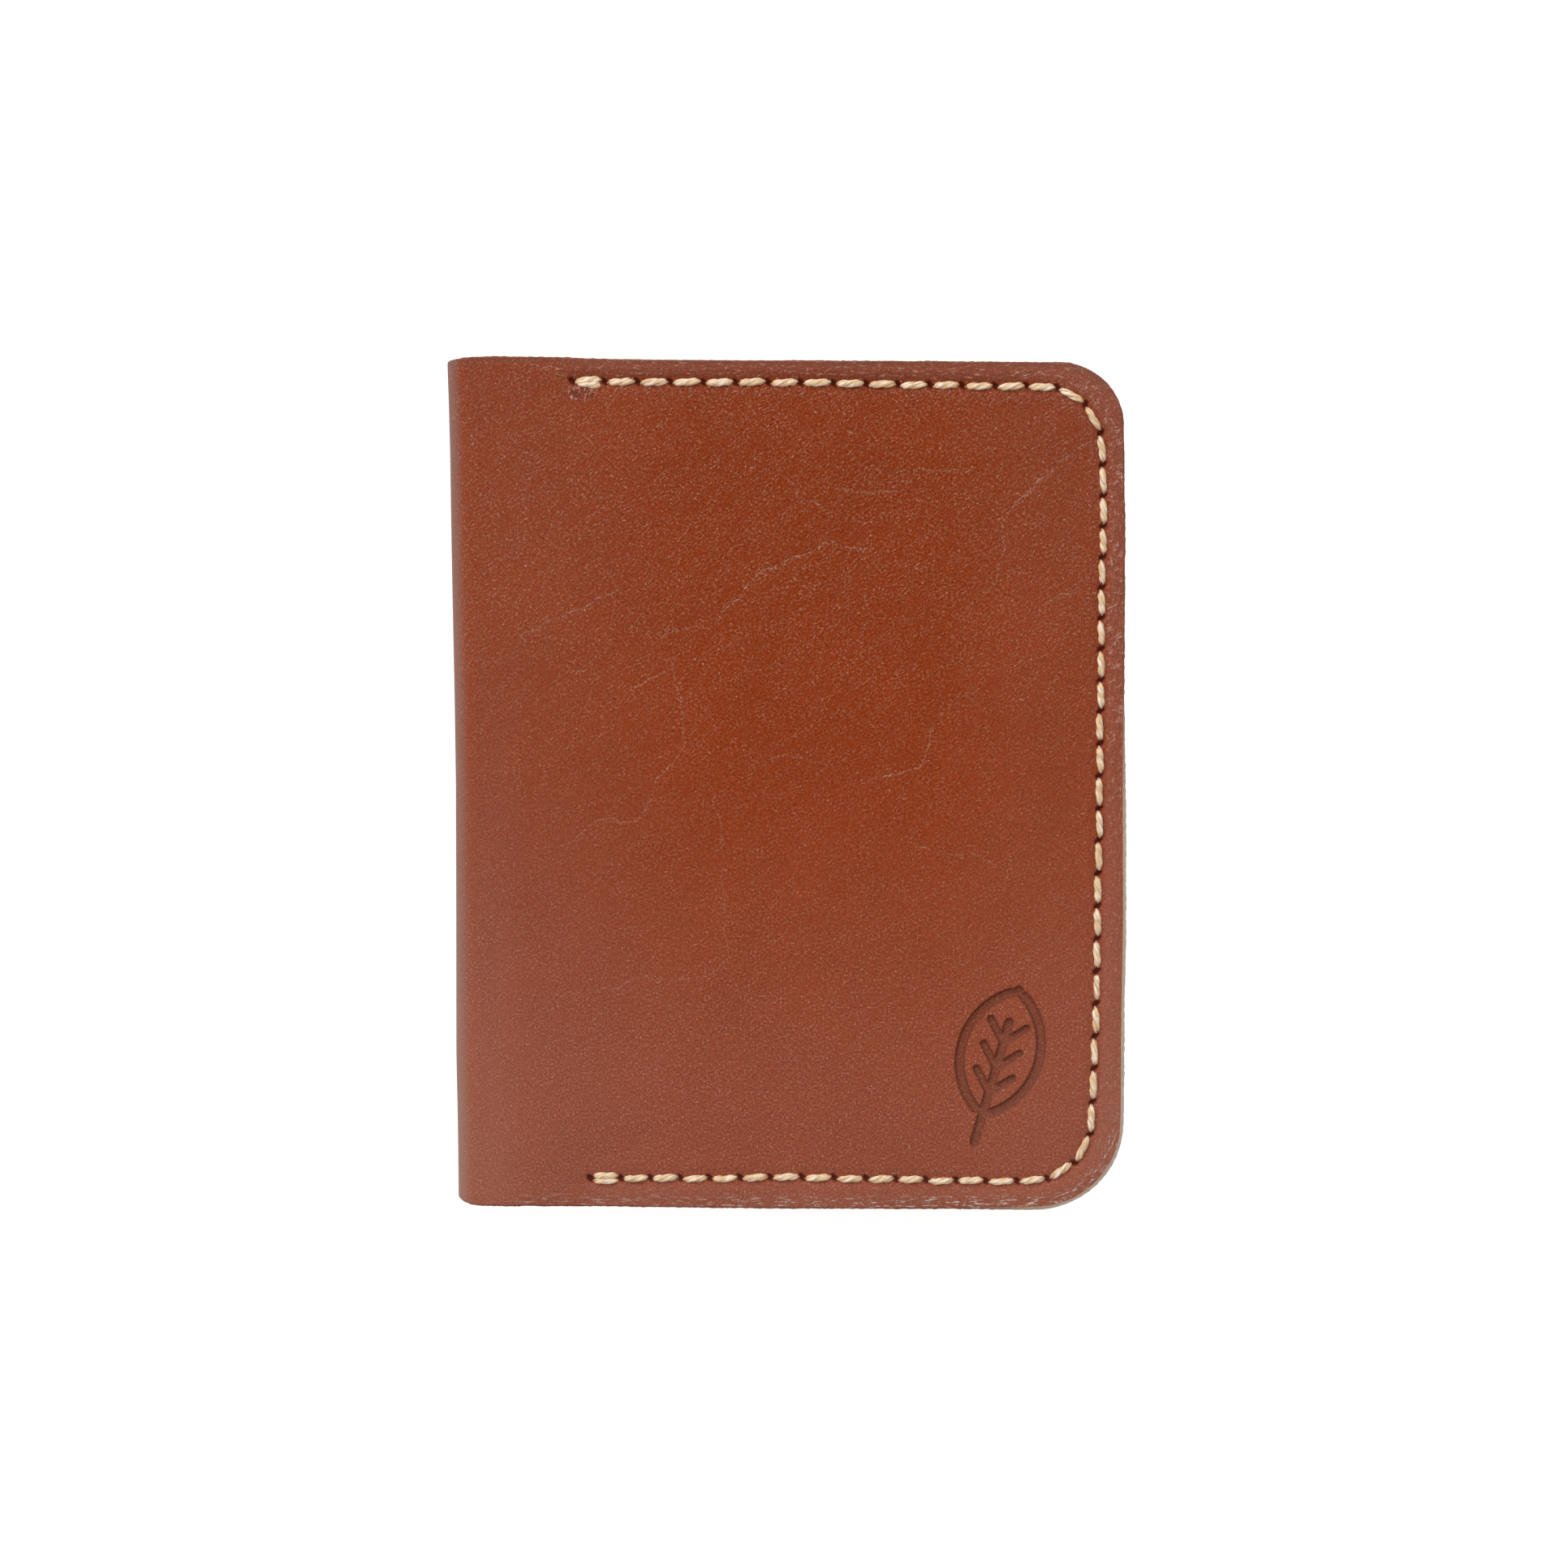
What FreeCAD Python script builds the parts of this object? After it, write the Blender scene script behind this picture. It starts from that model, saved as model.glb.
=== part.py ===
import FreeCAD, Part
import math
import os

# Vertical bifold card holder, lying closed on its rear cover.
# X runs from the spine (-X) to the free edges (+X), Y to the top edge, Z up.
# Origin: bottom centre of the closed holder. All lengths in millimetres.
#
# One piece of shell leather makes the rear cover, the spine and the front
# cover. It is written as five nodes, because it flexes along two fold lines:
# two flat covers, a flat spine strip and the two quarter bends between them.

# ---- driving dimensions --------------------------------------------------
WIDTH = 83.6            # closed, spine to free edge
HEIGHT = 105.0          # along the spine
SHELL_T = 1.5           # shell leather
PANEL_T = 0.9           # pocket leather
CARD_GAP = 0.8          # slot left for one card (a card is 0.76 thick)
COVER_GAP = 0.3         # between the two halves' innermost panels
FOLD_R = 3.0            # outer radius of each fold bend
CORNER_TOP_R = 7.8      # free corner at the top edge
CORNER_BOTTOM_R = 10.4  # free corner at the bottom edge
SPINE_CORNER_R = 1.6    # small corners of the pocket mouths' ends

SEAM_INSET = 3.1        # seam line from the cut edges
SEAM_R = 7.4            # seam line's corner radius
SEAM_TOP_X = -26.3      # first hole, top edge
SEAM_BOTTOM_X = -24.5   # last hole, bottom edge
STITCHES = 56           # stitches between 57 holes, about 4 mm each
THREAD_W = 0.9          # thread lying on the leather
THREAD_H = 0.5
TACK_W = 1.6            # first and last stitches are sewn twice
HOLE_L, HOLE_W = 1.05, 0.62      # slanted awl hole
POST_L, POST_W = 0.95, 0.52      # thread in the hole
HOLE_SLANT = 40.0       # awl slant to the seam, degrees
GROOVE_D = 0.55         # stitching groove in the shell's outer face

SLIP_MOUTH = 14.0       # slip pocket's mouth, from the spine
CARD_MOUTH = 31.0       # card pocket's mouth, from the spine
NOTCH_R = 9.5           # thumb notch of the card pocket
NOTCH_OUT = 3.5         # notch's centre, out from the mouth
FLANGE = 4.6            # flat sewn margin of each pocket panel
SLIP_RAMP = 3.0         # width over which each panel lifts off its margin
CARD_RAMP = 4.0
HIP_CORNER = 5.0        # cut-off corner of the lifted middle

# ---- derived -------------------------------------------------------------
HALF = SHELL_T + 2 * (CARD_GAP + PANEL_T)
THICK = 2 * HALF + COVER_GAP
X0, X1 = -WIDTH / 2, WIDTH / 2
Y1 = HEIGHT / 2
SLIP_X = X0 + SLIP_MOUTH
CARD_X = X0 + CARD_MOUTH
FOLD_X = X0 + FOLD_R
Z1 = SHELL_T                    # slip panel's margin
Z2 = SHELL_T + PANEL_T          # card panel's margin
Z3 = SHELL_T + 2 * PANEL_T      # sewn edge's inner face
UP = FreeCAD.Vector(0, 0, 1)


def V(x, y, z=0.0):
    return FreeCAD.Vector(x, y, z)


def prism(points, z0, z1):
    """A straight prism on a closed polygon of (x, y) points."""
    wire = Part.makePolygon([V(x, y, z0) for x, y in points + points[:1]])
    return Part.Face(wire).extrude(V(0, 0, z1 - z0))


def outline(x_left, z0, z1, left_r=0.0):
    """A plate with the covers' outline, from x_left to the free edge."""
    rt, rb = CORNER_TOP_R, CORNER_BOTTOM_R
    s = math.sqrt(0.5)
    top, bottom, right = Y1, -Y1, X1
    e = []

    def line(a, b):
        e.append(Part.LineSegment(V(*a, z0), V(*b, z0)).toShape())

    def arc(a, m, b):
        e.append(Part.Arc(V(*a, z0), V(*m, z0), V(*b, z0)).toShape())

    r = left_r
    line((x_left, bottom + r), (x_left, top - r))
    if r:
        arc((x_left, top - r), (x_left + r * (1 - s), top - r * (1 - s)), (x_left + r, top))
    line((x_left + r, top), (right - rt, top))
    arc((right - rt, top), (right - rt * (1 - s), top - rt * (1 - s)), (right, top - rt))
    line((right, top - rt), (right, bottom + rb))
    arc((right, bottom + rb), (right - rb * (1 - s), bottom + rb * (1 - s)), (right - rb, bottom))
    line((right - rb, bottom), (x_left + r, bottom))
    if r:
        arc((x_left + r, bottom), (x_left + r * (1 - s), bottom + r * (1 - s)), (x_left, bottom + r))
    wire = Part.Wire(Part.__sortEdges__(e))
    return Part.Face(wire).extrude(V(0, 0, z1 - z0))


# ---- seam line: 57 holes along the top, the free edge and the bottom ------
def seam_points():
    """Hole centres and seam directions, evenly spaced along the seam line."""
    xr, yt = X1 - SEAM_INSET, Y1 - SEAM_INSET
    r = SEAM_R
    top = xr - r - SEAM_TOP_X
    side = 2 * (yt - r)
    bottom = xr - r - SEAM_BOTTOM_X
    quarter = math.pi / 2 * r
    total = top + quarter + side + quarter + bottom
    out = []
    for i in range(STITCHES + 1):
        d = total * i / STITCHES
        if d <= top:
            out.append((SEAM_TOP_X + d, yt, 0.0))
            continue
        d -= top
        if d <= quarter:
            a = d / r
            out.append((xr - r + r * math.sin(a), yt - r + r * math.cos(a), -math.degrees(a)))
            continue
        d -= quarter
        if d <= side:
            out.append((xr, yt - r - d, -90.0))
            continue
        d -= side
        if d <= quarter:
            a = d / r
            out.append((xr - r + r * math.cos(a), -yt + r - r * math.sin(a), -90.0 - math.degrees(a)))
            continue
        d -= quarter
        out.append((xr - r - d, -yt, -180.0))
    return out


SEAM = seam_points()


def diamond(x, y, angle, length, width, z0, z1):
    a = math.radians(angle + HOLE_SLANT)
    c, s = math.cos(a), math.sin(a)
    pts = [(length / 2, 0), (0, width / 2), (-length / 2, 0), (0, -width / 2)]
    return prism([(x + u * c - v * s, y + u * s + v * c) for u, v in pts], z0, z1)


def bar(p, q, width, z0, z1, over, chamfer=0.0, up=True):
    """A straight bar from hole p to hole q, its outer edges chamfered."""
    dx, dy = q[0] - p[0], q[1] - p[1]
    n = math.hypot(dx, dy)
    dx, dy = dx / n, dy / n
    w, c = width / 2, chamfer
    if up:
        section = [(-w, z0), (w, z0), (w, z1 - c), (w - c, z1), (-w + c, z1), (-w, z1 - c)]
    else:
        section = [(-w + c, z0), (w - c, z0), (w, z0 + c), (w, z1), (-w, z1), (-w, z0 + c)]
    if not c:
        section = [(-w, z0), (w, z0), (w, z1), (-w, z1)]
    pts = [V(p[0] - dx * over - dy * s, p[1] - dy * over + dx * s, z) for s, z in section]
    face = Part.Face(Part.makePolygon(pts + pts[:1]))
    return face.extrude(V(dx * (n + 2 * over), dy * (n + 2 * over), 0))


def fused(shapes):
    whole = shapes[0].multiFuse(shapes[1:])
    return whole.removeSplitter()


def holes(z0, z1, x_from=-1e9):
    return [diamond(x, y, a, HOLE_L, HOLE_W, z0, z1) for x, y, a in SEAM if x > x_from]


# ---- rear half, built with its outer face on z = 0 --------------------------
def shell_panel():
    """The cover: a flat plate with a stitching groove in its outer face."""
    plate = outline(FOLD_X, 0.0, SHELL_T)
    groove = []
    for i in range(STITCHES):
        w = (TACK_W if i in (0, STITCHES - 1) else THREAD_W) + 0.1
        groove.append(bar(SEAM[i], SEAM[i + 1], w, -0.5, GROOVE_D, 0.25))
    return plate.cut(fused(groove)).cut(Part.makeCompound(holes(-1, SHELL_T + 1)))


def hip(z0, z1, ramp, widen):
    """A block that narrows by ramp on three sides as it rises."""
    def ring(d, z):
        x, y, c = X1 - FLANGE - d, Y1 - FLANGE - d, HIP_CORNER
        pts = [V(-60, -y, z), V(x - c, -y, z), V(x, -y + c, z), V(x, y - c, z), V(x - c, y, z), V(-60, y, z)]
        return Part.makePolygon(pts + pts[:1])
    return Part.makeLoft([ring(-widen, z0), ring(ramp, z1)], True, True)


def pocket_panel(mouth_x, z0, ramp, lift, notch):
    """A pocket panel: a sewn margin on three sides, its middle lifted."""
    plate = outline(mouth_x, z0, z0 + PANEL_T + lift, SPINE_CORNER_R)
    margin = outline(mouth_x, z0, z0 + PANEL_T, SPINE_CORNER_R)
    over = hip(z0 + PANEL_T, z0 + PANEL_T + lift, ramp, 0.0)
    under = hip(z0, z0 + lift, ramp, 0.0)
    body = margin.fuse(over.common(plate)).cut(under)
    if notch:
        body = body.cut(Part.makeCylinder(notch, 20, V(mouth_x - NOTCH_OUT, 0, z0 - 5)))
    body = body.cut(Part.makeCompound(holes(z0 - 1, z0 + PANEL_T + 1, mouth_x)))
    return body.removeSplitter()


def seam_thread():
    """One waxed thread, saddle stitched: it shows on both faces."""
    outer_z0, outer_z1 = 0.05, 0.05 + THREAD_H
    shapes = []

    def level(i):
        return Z3 if SEAM[i][0] > CARD_X + 0.3 else Z2

    for i, (x, y, a) in enumerate(SEAM):
        near = [level(j) for j in (i - 1, i, i + 1) if 0 <= j <= STITCHES]
        top = max(near) + THREAD_H * 0.6
        shapes.append(diamond(x, y, a, POST_L, POST_W, outer_z0 + 0.2, top))
    for i in range(STITCHES):
        w = TACK_W if i in (0, STITCHES - 1) else THREAD_W
        p, q = SEAM[i], SEAM[i + 1]
        shapes.append(bar(p, q, w, outer_z0, outer_z1, 0.15, 0.18, up=False))
        z = max(level(i), level(i + 1))
        shapes.append(bar(p, q, w, z, z + THREAD_H, 0.15, 0.18, up=True))
    return fused(shapes)


def quarter_bend():
    """The shell leather's bend between the rear cover and the spine strip."""
    c = V(FOLD_X, 0, FOLD_R)
    ro, ri = FOLD_R, FOLD_R - SHELL_T
    s = math.sqrt(0.5)
    y = -Y1
    p = [V(FOLD_X, y, 0), V(FOLD_X - ro * s, y, FOLD_R - ro * s), V(X0, y, FOLD_R),
         V(X0 + SHELL_T, y, FOLD_R), V(FOLD_X - ri * s, y, FOLD_R - ri * s), V(FOLD_X, y, SHELL_T)]
    edges = [Part.Arc(p[0], p[1], p[2]).toShape(), Part.LineSegment(p[2], p[3]).toShape(),
             Part.Arc(p[3], p[4], p[5]).toShape(), Part.LineSegment(p[5], p[0]).toShape()]
    return Part.Face(Part.Wire(edges)).extrude(V(0, HEIGHT, 0))


def turned_over(shape):
    """The same piece on the front half: mirrored about mid thickness."""
    return shape.mirror(V(0, 0, THICK / 2), UP)


rear = {
    "shell_panel": shell_panel(),
    "slip_pocket": pocket_panel(SLIP_X, Z1, SLIP_RAMP, CARD_GAP, 0),
    "card_pocket": pocket_panel(CARD_X, Z2, CARD_RAMP, 2 * CARD_GAP, NOTCH_R),
    "seam_thread": seam_thread(),
    "fold_bend": quarter_bend(),
}

parts = {}
for name, shape in rear.items():
    parts["rear_" + name] = shape
    parts["front_" + name] = turned_over(shape)
parts["spine_strip"] = Part.makeBox(
    SHELL_T, HEIGHT, THICK - 2 * FOLD_R, V(X0, -Y1, FOLD_R))

pivot = math.pi / 4 * (FOLD_R - SHELL_T / 2)
print("thickness", round(THICK, 3), "fold axes at x", round(FOLD_X - pivot, 4),
      "z", round(FOLD_R - pivot, 4), round(THICK - FOLD_R + pivot, 4),
      "stitch", round(math.dist(SEAM[3][:2], SEAM[4][:2]), 3))

os.makedirs("parts", exist_ok=True)
for name, shape in parts.items():
    if shape.ShapeType == "Compound" and len(shape.Solids) == 1:
        shape = shape.Solids[0]
    shape.exportStep("parts/" + name + ".step")
    b = shape.BoundBox
    print(name, "solids", len(shape.Solids), "valid", shape.isValid(), "faces", len(shape.Faces),
          "mm3", round(shape.Volume, 1),
          "box", [round(v, 2) for v in (b.XMin, b.YMin, b.ZMin, b.XMax, b.YMax, b.ZMax)])
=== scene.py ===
import math
import bpy
import numpy as np
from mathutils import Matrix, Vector
from mathutils.geometry import delaunay_2d_cdt


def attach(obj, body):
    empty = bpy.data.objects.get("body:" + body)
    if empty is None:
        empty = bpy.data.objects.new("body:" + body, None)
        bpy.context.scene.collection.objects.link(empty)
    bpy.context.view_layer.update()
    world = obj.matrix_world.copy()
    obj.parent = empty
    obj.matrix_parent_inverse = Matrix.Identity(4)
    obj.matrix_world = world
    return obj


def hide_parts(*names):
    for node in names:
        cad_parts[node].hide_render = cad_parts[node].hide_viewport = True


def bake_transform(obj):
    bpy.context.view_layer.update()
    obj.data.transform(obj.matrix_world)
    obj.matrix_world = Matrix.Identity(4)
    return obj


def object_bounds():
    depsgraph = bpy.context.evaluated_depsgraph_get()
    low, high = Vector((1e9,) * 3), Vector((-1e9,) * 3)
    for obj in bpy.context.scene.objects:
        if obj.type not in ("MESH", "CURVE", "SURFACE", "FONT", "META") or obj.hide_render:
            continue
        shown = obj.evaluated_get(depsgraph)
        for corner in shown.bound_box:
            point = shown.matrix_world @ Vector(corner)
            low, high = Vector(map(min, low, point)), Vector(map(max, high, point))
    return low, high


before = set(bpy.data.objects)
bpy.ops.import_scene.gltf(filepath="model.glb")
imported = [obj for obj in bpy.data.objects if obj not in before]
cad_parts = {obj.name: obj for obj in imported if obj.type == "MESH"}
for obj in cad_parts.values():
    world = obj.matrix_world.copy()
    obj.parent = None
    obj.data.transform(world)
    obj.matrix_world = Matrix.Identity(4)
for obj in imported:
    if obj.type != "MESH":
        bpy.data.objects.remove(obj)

# A closed bifold card holder. Everything below is worked out in millimetres
# in the CAD frame and scaled to metres when a mesh is made. "Flat" x, y are
# the cover's own coordinates before the small handmade irregularities of
# warp(); h is the height outward from a cover's outer face.

CAD_LOW, CAD_HIGH = [[float(c) for c in p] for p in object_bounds()]
MM = 0.001

# ---- sizes, in the CAD's order -------------------------------------------
X0, X1 = CAD_LOW[0] * 1000, CAD_HIGH[0] * 1000
Y1 = CAD_HIGH[1] * 1000
THICK = CAD_HIGH[2] * 1000
SHELL_T, PANEL_T = 1.5, 0.9
FOLD_R = 3.0
FX = X0 + FOLD_R
R_TOP, R_BOTTOM = 7.8, 10.4
SLIP_X, CARD_X = X0 + 14.0, X0 + 31.0
S_BEND = FX - FOLD_R * math.pi / 2          # outer arc length of the bend
S_MID = S_BEND - (THICK / 2 - FOLD_R)       # where the two shells meet
SEAM_X, SEAM_Y, SEAM_R = X1 - 3.1, Y1 - 3.1, 7.4
SEAM_TOP_X, SEAM_BOTTOM_X = -26.3, -24.5
STITCHES = 56


def sm(a, b, x):
    t = np.clip((np.asarray(x, float) - a) / (b - a), 0, 1)
    return t * t * (3 - 2 * t)


def waves(x, y, length, seed, n=14, spread=0.45):
    """Smooth seeded noise of about the given wavelength, roughly -1 to 1."""
    rng = np.random.default_rng(seed)
    out = 0
    for _ in range(n):
        a = rng.uniform(0, 2 * np.pi)
        k = 2 * np.pi / (length * rng.uniform(1 - spread, 1 + spread))
        out = out + np.cos(k * (x * np.cos(a) + y * np.sin(a)) + rng.uniform(0, 6.283))
    return out / math.sqrt(n / 2) / 1.6


# ---- handmade irregularities ---------------------------------------------
# How far each cut edge strays outward from the square outline, in millimetres.
EDGE_TOP = ((-42, .33), (-37, .36), (-33, .38), (-29, .36), (-25, .22), (-17, .08), (-9, -.03), (0, -.03), (7, -.07),
            (19, -.13), (27, -.22), (32, -.26), (42, -.36))
EDGE_BOTTOM = ((-42, -.07), (-37, -.05), (-29, .04), (-21, .13), (-13, .23), (-5, .32), (3, .38), (11, .42), (19, .42),
               (27, .35), (31, .26), (42, .05))
EDGE_RIGHT = ((-53, -.2), (-44, -.14), (-38, -.06), (-29, -.04), (-22, .10), (-18, .18), (-8, .20), (1, .15),
              (12, .20), (21, .27), (31, .33), (41, .20), (53, .10))
FOLD = ((-53, .98), (-48, .93), (-42, .86), (-34, .68), (-14, .66), (0, .62), (11, .45), (21, .24), (31, .05),
        (41, -.10), (47, -.26), (52, -.44), (53, -.46))


def knots(table, x):
    """A table of pairs read as a smooth curve."""
    t = np.array(table, float)
    fine = np.linspace(t[0, 0], t[-1, 0], 400)
    v = np.interp(fine, t[:, 0], t[:, 1])
    k = np.hanning(25)
    v = np.convolve(np.pad(v, 12, mode="edge"), k / k.sum(), mode="valid")
    return np.interp(x, fine, v)


def warp(x, y):
    """The cut outline is not quite square: its edges lean and wave a little."""
    u = (y + Y1) / (2 * Y1)
    return (x + knots(EDGE_RIGHT, y) * sm(-10, 35, x),
            y + knots(EDGE_TOP, x) * u - knots(EDGE_BOTTOM, x) * (1 - u))


def lean(y):
    """The spine's fold line leans across the cover."""
    return knots(FOLD, y)


def rounded(x, y, xr, yt, rt, rb, x_start):
    """(along, out): length along a rounded three-sided line, and the signed
    distance outside it. The line runs along the top, down the right side
    and back along the bottom."""
    x, y = np.asarray(x, float), np.asarray(y, float)
    top_len = xr - rt - x_start
    side = 2 * yt - rt - rb
    q1, q2 = math.pi / 2 * rt, math.pi / 2 * rb
    vt, vr, vb = y - yt, x - xr, -yt - y
    best = np.maximum(np.maximum(vt, vr), vb)
    p = np.where(best == vt, x - x_start,
                 np.where(best == vr, top_len + q1 + (yt - rt - y),
                          top_len + q1 + side + q2 + (xr - rb - x)))
    v = best
    c = (x > xr - rt) & (y > yt - rt)
    dx, dy = x - (xr - rt), y - (yt - rt)
    a = np.arctan2(np.maximum(dx, 1e-9), np.maximum(dy, 1e-9))
    p = np.where(c, top_len + rt * a, p)
    v = np.where(c, np.hypot(dx, dy) - rt, v)
    c = (x > xr - rb) & (y < -(yt - rb))
    dx, dy = x - (xr - rb), -y - (yt - rb)
    a = np.arctan2(np.maximum(dy, 1e-9), np.maximum(dx, 1e-9))
    p = np.where(c, top_len + q1 + side + rb * a, p)
    v = np.where(c, np.hypot(dx, dy) - rb, v)
    return p, v


def edge_coords(x, y):
    p, v = rounded(x, y, X1, Y1, R_TOP, R_BOTTOM, 0.0)
    return p, -v


SEAM_TOP = SEAM_X - SEAM_R - SEAM_TOP_X
SEAM_Q = math.pi / 2 * SEAM_R
SEAM_SIDE = 2 * (SEAM_Y - SEAM_R)
SEAM_BOTTOM = SEAM_X - SEAM_R - SEAM_BOTTOM_X
SEAM_LEN = SEAM_TOP + 2 * SEAM_Q + SEAM_SIDE + SEAM_BOTTOM
PITCH = SEAM_LEN / STITCHES

# The hand-pricked line wanders: shifts along and across the ideal seam line,
# given at a few stitch numbers, in millimetres.
ALONG = ((0, .1), (3, .2), (7, .6), (14, .95), (16, .7), (19, .45), (22, 0), (25, -.4), (30, 0), (35, .6),
         (38, .85), (40, 1.75), (42, 2.0), (44, 1.55), (47, .95), (50, 1.1), (56, .35))
ACROSS = ((0, .18), (4, .34), (8, .28), (12, .05), (14, .02), (15.5, .35), (19.5, .44), (22, .17), (26, .16),
          (29, .0), (32, -.24), (35, -.2), (37, -.32), (38.5, -.66), (40.5, -.67), (41.5, -.28), (42.5, -.18),
          (44, -.42), (47, -.65), (49, -.83), (52, -.64), (56, -.38))


def seam_point(p):
    """Flat position and direction of travel at length p along the seam."""
    p = np.atleast_1d(np.asarray(p, float))
    n = p / PITCH
    d = p.copy()
    x, y, a = np.empty_like(d), np.empty_like(d), np.empty_like(d)
    xc, yc = SEAM_X - SEAM_R, SEAM_Y - SEAM_R
    m = d <= SEAM_TOP
    x[m], y[m], a[m] = SEAM_TOP_X + d[m], SEAM_Y, 0
    e1 = SEAM_TOP + SEAM_Q
    m = (d > SEAM_TOP) & (d <= e1)
    t = (d[m] - SEAM_TOP) / SEAM_R
    x[m], y[m], a[m] = xc + SEAM_R * np.sin(t), yc + SEAM_R * np.cos(t), -t
    e2 = e1 + SEAM_SIDE
    m = (d > e1) & (d <= e2)
    x[m], y[m], a[m] = SEAM_X, yc - (d[m] - e1), -np.pi / 2
    e3 = e2 + SEAM_Q
    m = (d > e2) & (d <= e3)
    t = (d[m] - e2) / SEAM_R
    x[m], y[m], a[m] = xc + SEAM_R * np.cos(t), -yc - SEAM_R * np.sin(t), -np.pi / 2 - t
    m = d > e3
    x[m], y[m], a[m] = xc - (d[m] - e3), -SEAM_Y, -np.pi
    v = knots(ACROSS, n)
    return x - np.sin(a) * v, y + np.cos(a) * v, a


def seam_coords(x, y):
    p, v = rounded(x, y, SEAM_X, SEAM_Y, SEAM_R, SEAM_R, SEAM_TOP_X)
    # the bottom run starts at another x than the top one, so p is measured on
    return p, v - knots(ACROSS, np.clip(p / PITCH, 0, STITCHES))


HOLE_N = np.arange(STITCHES + 1)
HOLE_P = HOLE_N * PITCH + knots(ALONG, HOLE_N)
HOLE_P += np.random.default_rng(5).normal(0, 0.05, len(HOLE_P))
HOLE_X, HOLE_Y, HOLE_A = seam_point(np.clip(HOLE_P, -1, SEAM_LEN + 1))
SEAM_P0, SEAM_P1 = HOLE_P[0], HOLE_P[-1]
SLANT = math.radians(-48)
PIT_U, PIT_W = 0.60, 0.36


def pit(x, y):
    """The distance into the nearest awl hole, scaled to its shape: 0 at its centre, 1 at its rim, 9 far from every
    hole."""
    q = np.full(np.shape(x), 9.0)
    for hx, hy, ha in zip(HOLE_X, HOLE_Y, HOLE_A):
        near = (np.abs(x - hx) < 2) & (np.abs(y - hy) < 2)
        if not near.any():
            continue
        dx, dy = x[near] - hx, y[near] - hy
        a = ha + SLANT
        u, w = dx * np.cos(a) + dy * np.sin(a), -dx * np.sin(a) + dy * np.cos(a)
        b = (np.abs(u / PIT_U) ** 2 + np.abs(w / PIT_W) ** 2) ** 0.5
        q[near] = np.minimum(q[near], b)
    return q


def pillow(x, y):
    """The sewn margins are drawn inwards; the middle of a cover stays full."""
    e = edge_coords(x, y)[1]
    return -(1 - sm(0.0, 13.0, e)) * sm(-37, -22, x)


AMP = {"front": 0.75, "rear": 0.35}


def relief(x, y, side):
    """Height of a cover's outer grain surface over its drawn-in stack."""
    p, v = seam_coords(x, y)
    on = sm(SEAM_P0 - 1.6, SEAM_P0 + 0.6, p) * (1 - sm(SEAM_P1 - 0.6, SEAM_P1 + 1.6, p))
    out = -0.20 * np.exp(-(v / 0.95) ** 2) * on
    # the thread bites in along each stitch, the leather rises beside it
    out += 0.05 * np.exp(-((v - 1.25) / 0.55) ** 2) * on + 0.05 * np.exp(-((v + 1.3) / 0.6) ** 2) * on
    seed = 3 if side == "front" else 31
    out += 0.10 * waves(x, y, 26, seed) + 0.035 * waves(x, y, 9, seed + 1)
    # puckers just inside the seam
    k = np.exp(-((v + 2.2) / 1.3) ** 2) * on
    out += 0.03 * k * waves(p, v * 0.5, 2.1, seed + 2)
    q = pit(x, y)
    out -= 0.65 * (1 - sm(0.55, 1.12, q))
    e = edge_coords(x, y)[1]
    out -= 0.16 * (1 - sm(0.2, 1.3, e))           # the edge is bevelled and rubbed down
    if side == "front":
        out -= 0.42 * (1 - sm(-0.16, 0.05, motif(x, y)))
    return out


def roll(s):
    """The covers begin to fall away towards the spine before the fold itself."""
    return -0.34 * (1 - sm(FX - 3.0, FX + 9, s)) * sm(S_BEND - 0.6, FX - 0.6, s)


# ---- the debossed motif: a plain leaf --------------------------------------
MX, MY, MTILT = 26.2, -34.6, math.radians(-16)


def seg(x, y, ax, ay, bx, by):
    dx, dy = bx - ax, by - ay
    t = np.clip(((x - ax) * dx + (y - ay) * dy) / (dx * dx + dy * dy), 0, 1)
    return np.hypot(x - ax - t * dx, y - ay - t * dy)


def motif(x, y):
    """Signed distance to the leaf's strokes, negative inside them."""
    c, s = math.cos(MTILT), math.sin(MTILT)
    u, w = (x - MX) * c + (y - MY) * s, -(x - MX) * s + (y - MY) * c
    w = w - 1.5
    half, wide = 8.0, 4.9
    r = (half * half + wide * wide) / (2 * wide)
    d = np.maximum(np.hypot(u + (r - wide), w), np.hypot(u - (r - wide), w)) - r
    tip = np.minimum(np.hypot(u, w - half), np.hypot(u, w + half))
    d = np.where((np.abs(w) > half), tip, d)
    m = np.abs(d) - 0.58
    m = np.minimum(m, seg(u, w, 0, -11.4, 0, 3.9) - 0.55)
    for b in (-3.9, -0.7, 2.5):
        for sg in (-1, 1):
            m = np.minimum(m, seg(u, w, 0, b - 1.2, sg * 2.3, b + 1.25) - 0.46)
    return m


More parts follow.
